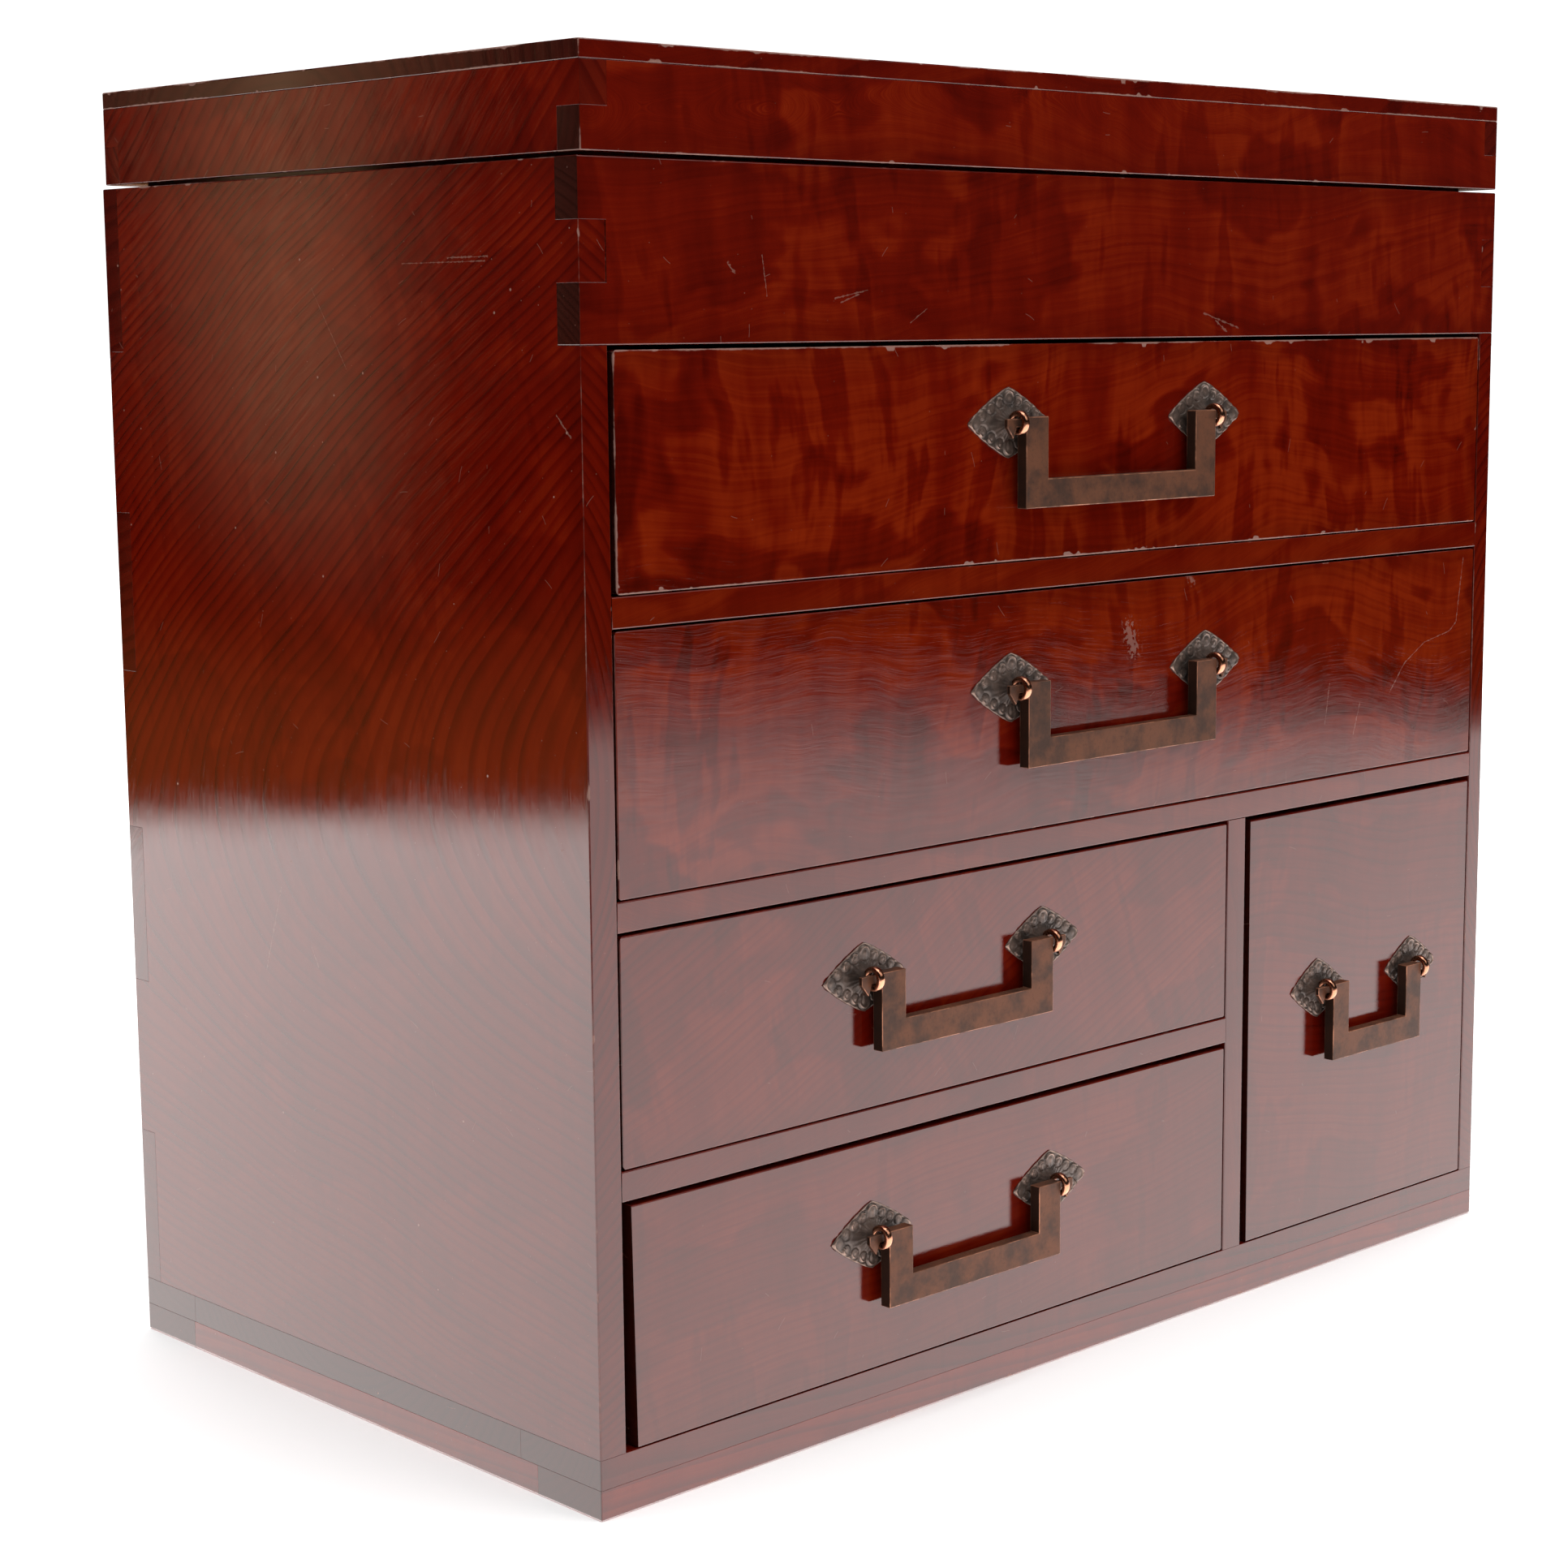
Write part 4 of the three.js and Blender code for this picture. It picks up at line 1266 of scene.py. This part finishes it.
def sweep_material():
    """White paper: brightly lit beside the cabinet inside the sweep's edges, and dark floor beyond them."""
    studio = bpy.context.scene.cabinet_studio
    material, t = new_material("white_sweep")
    coordinates = t.tree.nodes.new("ShaderNodeTexCoord").outputs
    x, y, _ = t.parts(t.vector("SUBTRACT", coordinates["Object"], case_low))

    def along(way):
        return t.plus(t.times(x, way.x), t.times(y, way.y))

    off = along(Vector((math.cos(studio.azimuth), -math.sin(studio.azimuth))))
    deep = along(Vector((math.sin(studio.azimuth), math.cos(studio.azimuth))))
    left, right = -studio.sweep_left, studio.sweep_right
    past_left = t.step(off, left - SWEEP_EDGE, left + SWEEP_EDGE)
    past_right = t.step(off, right - SWEEP_EDGE, right + SWEEP_EDGE, 1.0, 0.0)
    on_sweep = t.times(past_left, past_right)
    path = t.tree.nodes.new("ShaderNodeLightPath").outputs
    texture = t.step(t.noise(coordinates["Object"], scale=500.0, detail=3.0), 0.2, 0.8, 0.93, 0.96)
    paper = t.mix(path["Is Diffuse Ray"], t.joined(texture, texture, texture), PAPER_BOUNCE)
    away = t.length(t.vector("MULTIPLY", coordinates["Object"], (1, 1, 0)))
    lifted = t.times(t.step(away, 0.20, 0.70, 0.22, 1.0), path["Is Camera Ray"])
    diffuse = t.add("ShaderNodeBsdfDiffuse", {0: paper})
    glow = t.add("ShaderNodeEmission", {0: (1, 1, 1, 1), 1: lifted})
    lit = t.add("ShaderNodeAddShader", {0: diffuse.outputs[0], 1: glow.outputs[0]})
    even = t.step(off, left, right, *SWEEP_FALL, smooth=False)
    beside = t.times(t.step(deep, -0.60, -0.30), t.step(deep, 0.60, 0.90, 1.0, 0.0))
    behind = t.step(t.lower(x, y), 0.0, 0.03)
    bright = 1.0 - UNLIT_SHINE
    beside = t.plus(UNLIT_SHINE, t.times(beside, t.math("MULTIPLY_ADD", behind, -bright, bright)))
    paper_shine = t.times(t.times(even, beside), studio.sweep_shine)
    far_left = t.step(off, FAR_FADE * left, left, 0.0, 0.55)
    far_right = t.step(off, right, FAR_FADE * right, 0.12, 0.0)
    beyond = t.plus(t.times(far_left, t.math("LESS_THAN", off, 0.0)),
                    t.times(far_right, t.math("GREATER_THAN", off, 0.0)))
    brightness = t.add("ShaderNodeMix", {0: on_sweep, 2: beyond, 3: paper_shine}).outputs[0]
    hue = t.mix(on_sweep, DARK_FLOOR_TINT, PAPER_TINT)
    shine = t.add("ShaderNodeEmission", {0: hue, 1: brightness})
    shown = t.add("ShaderNodeMixShader", {0: path["Is Glossy Ray"], 1: lit.outputs[0], 2: shine.outputs[0]})
    t.add("ShaderNodeOutputMaterial", {0: shown.outputs[0]})
    return material


def card_material():
    """A warm board beside the set whose edges fade, seen only in the lacquer."""
    material, t = new_material("warm_card")
    position = t.tree.nodes.new("ShaderNodeTexCoord").outputs["Generated"]
    x, _, z = t.parts(position)
    sides = t.step(t.math("ABSOLUTE", t.minus(x, 0.5)), 0.22, 0.5, 1.0, 0.0)
    foot = t.step(z, 0.0, 0.30)
    shine = t.add("ShaderNodeEmission", {0: CARD_COLOUR, 1: t.times(t.times(sides, foot), CARD_POWER)})
    t.add("ShaderNodeOutputMaterial", {0: shine.outputs[0]})
    return material


def add_floor():
    made = bmesh.new()
    corners = rectangle_corners((-FLOOR_REACH, -FLOOR_REACH), (FLOOR_REACH, FLOOR_REACH), -FLOOR_DROP)
    made.faces.new([made.verts.new(corner) for corner in corners])
    return add_stage_object("floor", mesh_of(made, "floor", smooth=False), sweep_material())


def add_card():
    """The board stands on the far left, where the left side of the cabinet mirrors it."""
    made = bmesh.new()
    across = Vector((math.sin(CARD_TURN), math.cos(CARD_TURN), 0)) * (CARD_WIDTH / 2)
    sides_and_heights = ((-1, CARD_LOW), (1, CARD_LOW), (1, CARD_HIGH), (-1, CARD_HIGH))
    corners = [CARD_PLACE + side * across + AXES["Z"] * height for side, height in sides_and_heights]
    made.faces.new([made.verts.new(corner) for corner in corners])
    card = add_stage_object("warm_card", mesh_of(made, "warm_card", smooth=False), card_material())
    card.visible_camera = False
    card.visible_diffuse = False
    card.visible_shadow = False
    return card


def add_world():
    """White behind everything, dim in the lacquer, and an even soft light on the wood."""
    studio = bpy.context.scene.cabinet_studio
    world = bpy.data.worlds.new("studio")
    world.use_nodes = True
    world.node_tree.nodes.clear()
    bpy.context.scene.world = world
    t = Tree(world.node_tree)
    path = t.tree.nodes.new("ShaderNodeLightPath").outputs
    dim = t.mix(path["Is Glossy Ray"], (studio.fill, studio.fill, studio.fill, 1), MIRRORED_ROOM)
    seen = t.mix(path["Is Camera Ray"], dim, BEHIND_COLOUR)
    t.add("ShaderNodeOutputWorld", {0: t.add("ShaderNodeBackground", {0: seen, 1: 1.0}).outputs[0]})


def add_area_light(name, spot, aim, size, power, colour):
    light = bpy.data.lights.new(name, "AREA")
    light.shape = "RECTANGLE"
    light.size, light.size_y = size
    light.energy = power
    light.color = colour
    lamp = bpy.data.objects.new(name, light)
    lamp.location = spot
    lamp.rotation_euler = (Vector(aim) - Vector(spot)).to_track_quat("-Z", "Y").to_euler()
    bpy.context.scene.collection.objects.link(lamp)
    return lamp


def add_camera():
    studio = bpy.context.scene.cabinet_studio
    camera = bpy.data.objects.new("camera", bpy.data.cameras.new("camera"))
    bpy.context.scene.collection.objects.link(camera)
    camera.data.lens = studio.lens
    camera.data.sensor_width = 36.0
    camera.data.clip_start, camera.data.clip_end = 0.01, 100.0
    level = Euler((math.pi / 2 - studio.elevation, 0, -studio.azimuth)).to_matrix()
    camera.rotation_euler = (level @ Matrix.Rotation(-studio.roll, 3, "Z")).to_euler()
    camera.location = studio.camera_place
    bpy.context.scene.camera = camera


# ---- Operators, one for each group of like pieces ----


class CABINET_OT_case(bpy.types.Operator):
    """Build the four jointed boards of the case"""

    bl_idname = "cabinet.case"
    bl_label = "Case Boards"

    def execute(self, context):
        add_node_boards(CASE_BOARDS, "cabinet")
        return {"FINISHED"}


class CABINET_OT_shelves(bpy.types.Operator):
    """Build the shelves, the divider and the tray floor"""

    bl_idname = "cabinet.shelves"
    bl_label = "Shelves"

    def execute(self, context):
        add_node_boards(SHELVES, "cabinet")
        return {"FINISHED"}


class CABINET_OT_base(bpy.types.Operator):
    """Build the bottom boards and the plinth rails"""

    bl_idname = "cabinet.base"
    bl_label = "Base"

    def execute(self, context):
        add_node_boards(BOTTOM_BOARDS, "cabinet")
        add_plinth()
        return {"FINISHED"}


class CABINET_OT_lid(bpy.types.Operator):
    """Build the lid and the rim that it drops over"""

    bl_idname = "cabinet.lid"
    bl_label = "Lid and Rim"

    def execute(self, context):
        add_node_boards(LID_BOARDS, "lid")
        add_rim()
        return {"FINISHED"}


class CABINET_OT_drawer_fronts(bpy.types.Operator):
    """Build the five figured drawer fronts"""

    bl_idname = "cabinet.drawer_fronts"
    bl_label = "Drawer Fronts"

    def execute(self, context):
        for drawer in DRAWERS:
            add_drawer_front(drawer)
        return {"FINISHED"}


class CABINET_OT_drawer_boxes(bpy.types.Operator):
    """Build the walls, backs and bottoms of the drawers"""

    bl_idname = "cabinet.drawer_boxes"
    bl_label = "Drawer Boxes"

    def execute(self, context):
        for drawer in DRAWERS:
            add_drawer_box(drawer)
        return {"FINISHED"}


class CABINET_OT_backplates(bpy.types.Operator):
    """Build the stamped backplates and the copper eyes in them"""

    bl_idname = "cabinet.backplates"
    bl_label = "Backplates and Eyes"

    def execute(self, context):
        for drawer in DRAWERS:
            for side in ("left", "right"):
                add_plate(drawer, side)
                add_eye(drawer, side)
        return {"FINISHED"}


class CABINET_OT_bails(bpy.types.Operator):
    """Build the swinging bails"""

    bl_idname = "cabinet.bails"
    bl_label = "Bails"

    def execute(self, context):
        for drawer in DRAWERS:
            add_bail(drawer)
        return {"FINISHED"}


class CABINET_OT_stage(bpy.types.Operator):
    """Build the paper sweep, the lights, the world and the camera"""

    bl_idname = "cabinet.stage"
    bl_label = "Stage"

    def execute(self, context):
        studio = context.scene.cabinet_studio
        add_floor()
        add_card()
        add_world()
        add_area_light("key", spot=(0.9, -1.6, 1.7), aim=(0, 0, 0.15), size=(1.6, 1.2),
                       power=studio.key_power, colour=(1, 0.98, 0.95))
        add_area_light("overhead", spot=(0.1, 0.1, 2.2), aim=(0, 0, 0), size=(2.4, 2.4),
                       power=OVERHEAD_POWER, colour=(1, 1, 1))
        add_camera()
        context.scene.view_settings.view_transform = "Standard"
        return {"FINISHED"}


OPERATORS = (
    CABINET_OT_case, CABINET_OT_shelves, CABINET_OT_base, CABINET_OT_lid, CABINET_OT_drawer_fronts,
    CABINET_OT_drawer_boxes, CABINET_OT_backplates, CABINET_OT_bails, CABINET_OT_stage,
)


class CABINET_PT_panel(bpy.types.Panel):
    """Settings and steps of the cabinet"""

    bl_idname = "CABINET_PT_panel"
    bl_label = "Apothecary Cabinet"
    bl_space_type = "VIEW_3D"
    bl_region_type = "UI"
    bl_category = "Cabinet"

    def draw(self, context):
        for name, settings in SETTINGS.items():
            box = self.layout.box()
            for key in settings.__annotations__:
                box.prop(getattr(context.scene, name), key)
        for operator in OPERATORS:
            self.layout.operator(operator.bl_idname)


CLASSES = (*SETTINGS.values(), *OPERATORS, CABINET_PT_panel)


def register():
    for cls in CLASSES:
        bpy.utils.register_class(cls)
    for name, settings in SETTINGS.items():
        setattr(bpy.types.Scene, name, PointerProperty(type=settings))


def unregister():
    for name in SETTINGS:
        delattr(bpy.types.Scene, name)
    for cls in reversed(CLASSES):
        bpy.utils.unregister_class(cls)


def main():
    register()
    bpy.ops.cabinet.case()
    bpy.ops.cabinet.shelves()
    bpy.ops.cabinet.base()
    bpy.ops.cabinet.lid()
    bpy.ops.cabinet.drawer_fronts()
    bpy.ops.cabinet.drawer_boxes()
    bpy.ops.cabinet.backplates()
    bpy.ops.cabinet.bails()
    bpy.ops.cabinet.stage()


if __name__ == "__main__":
    main()
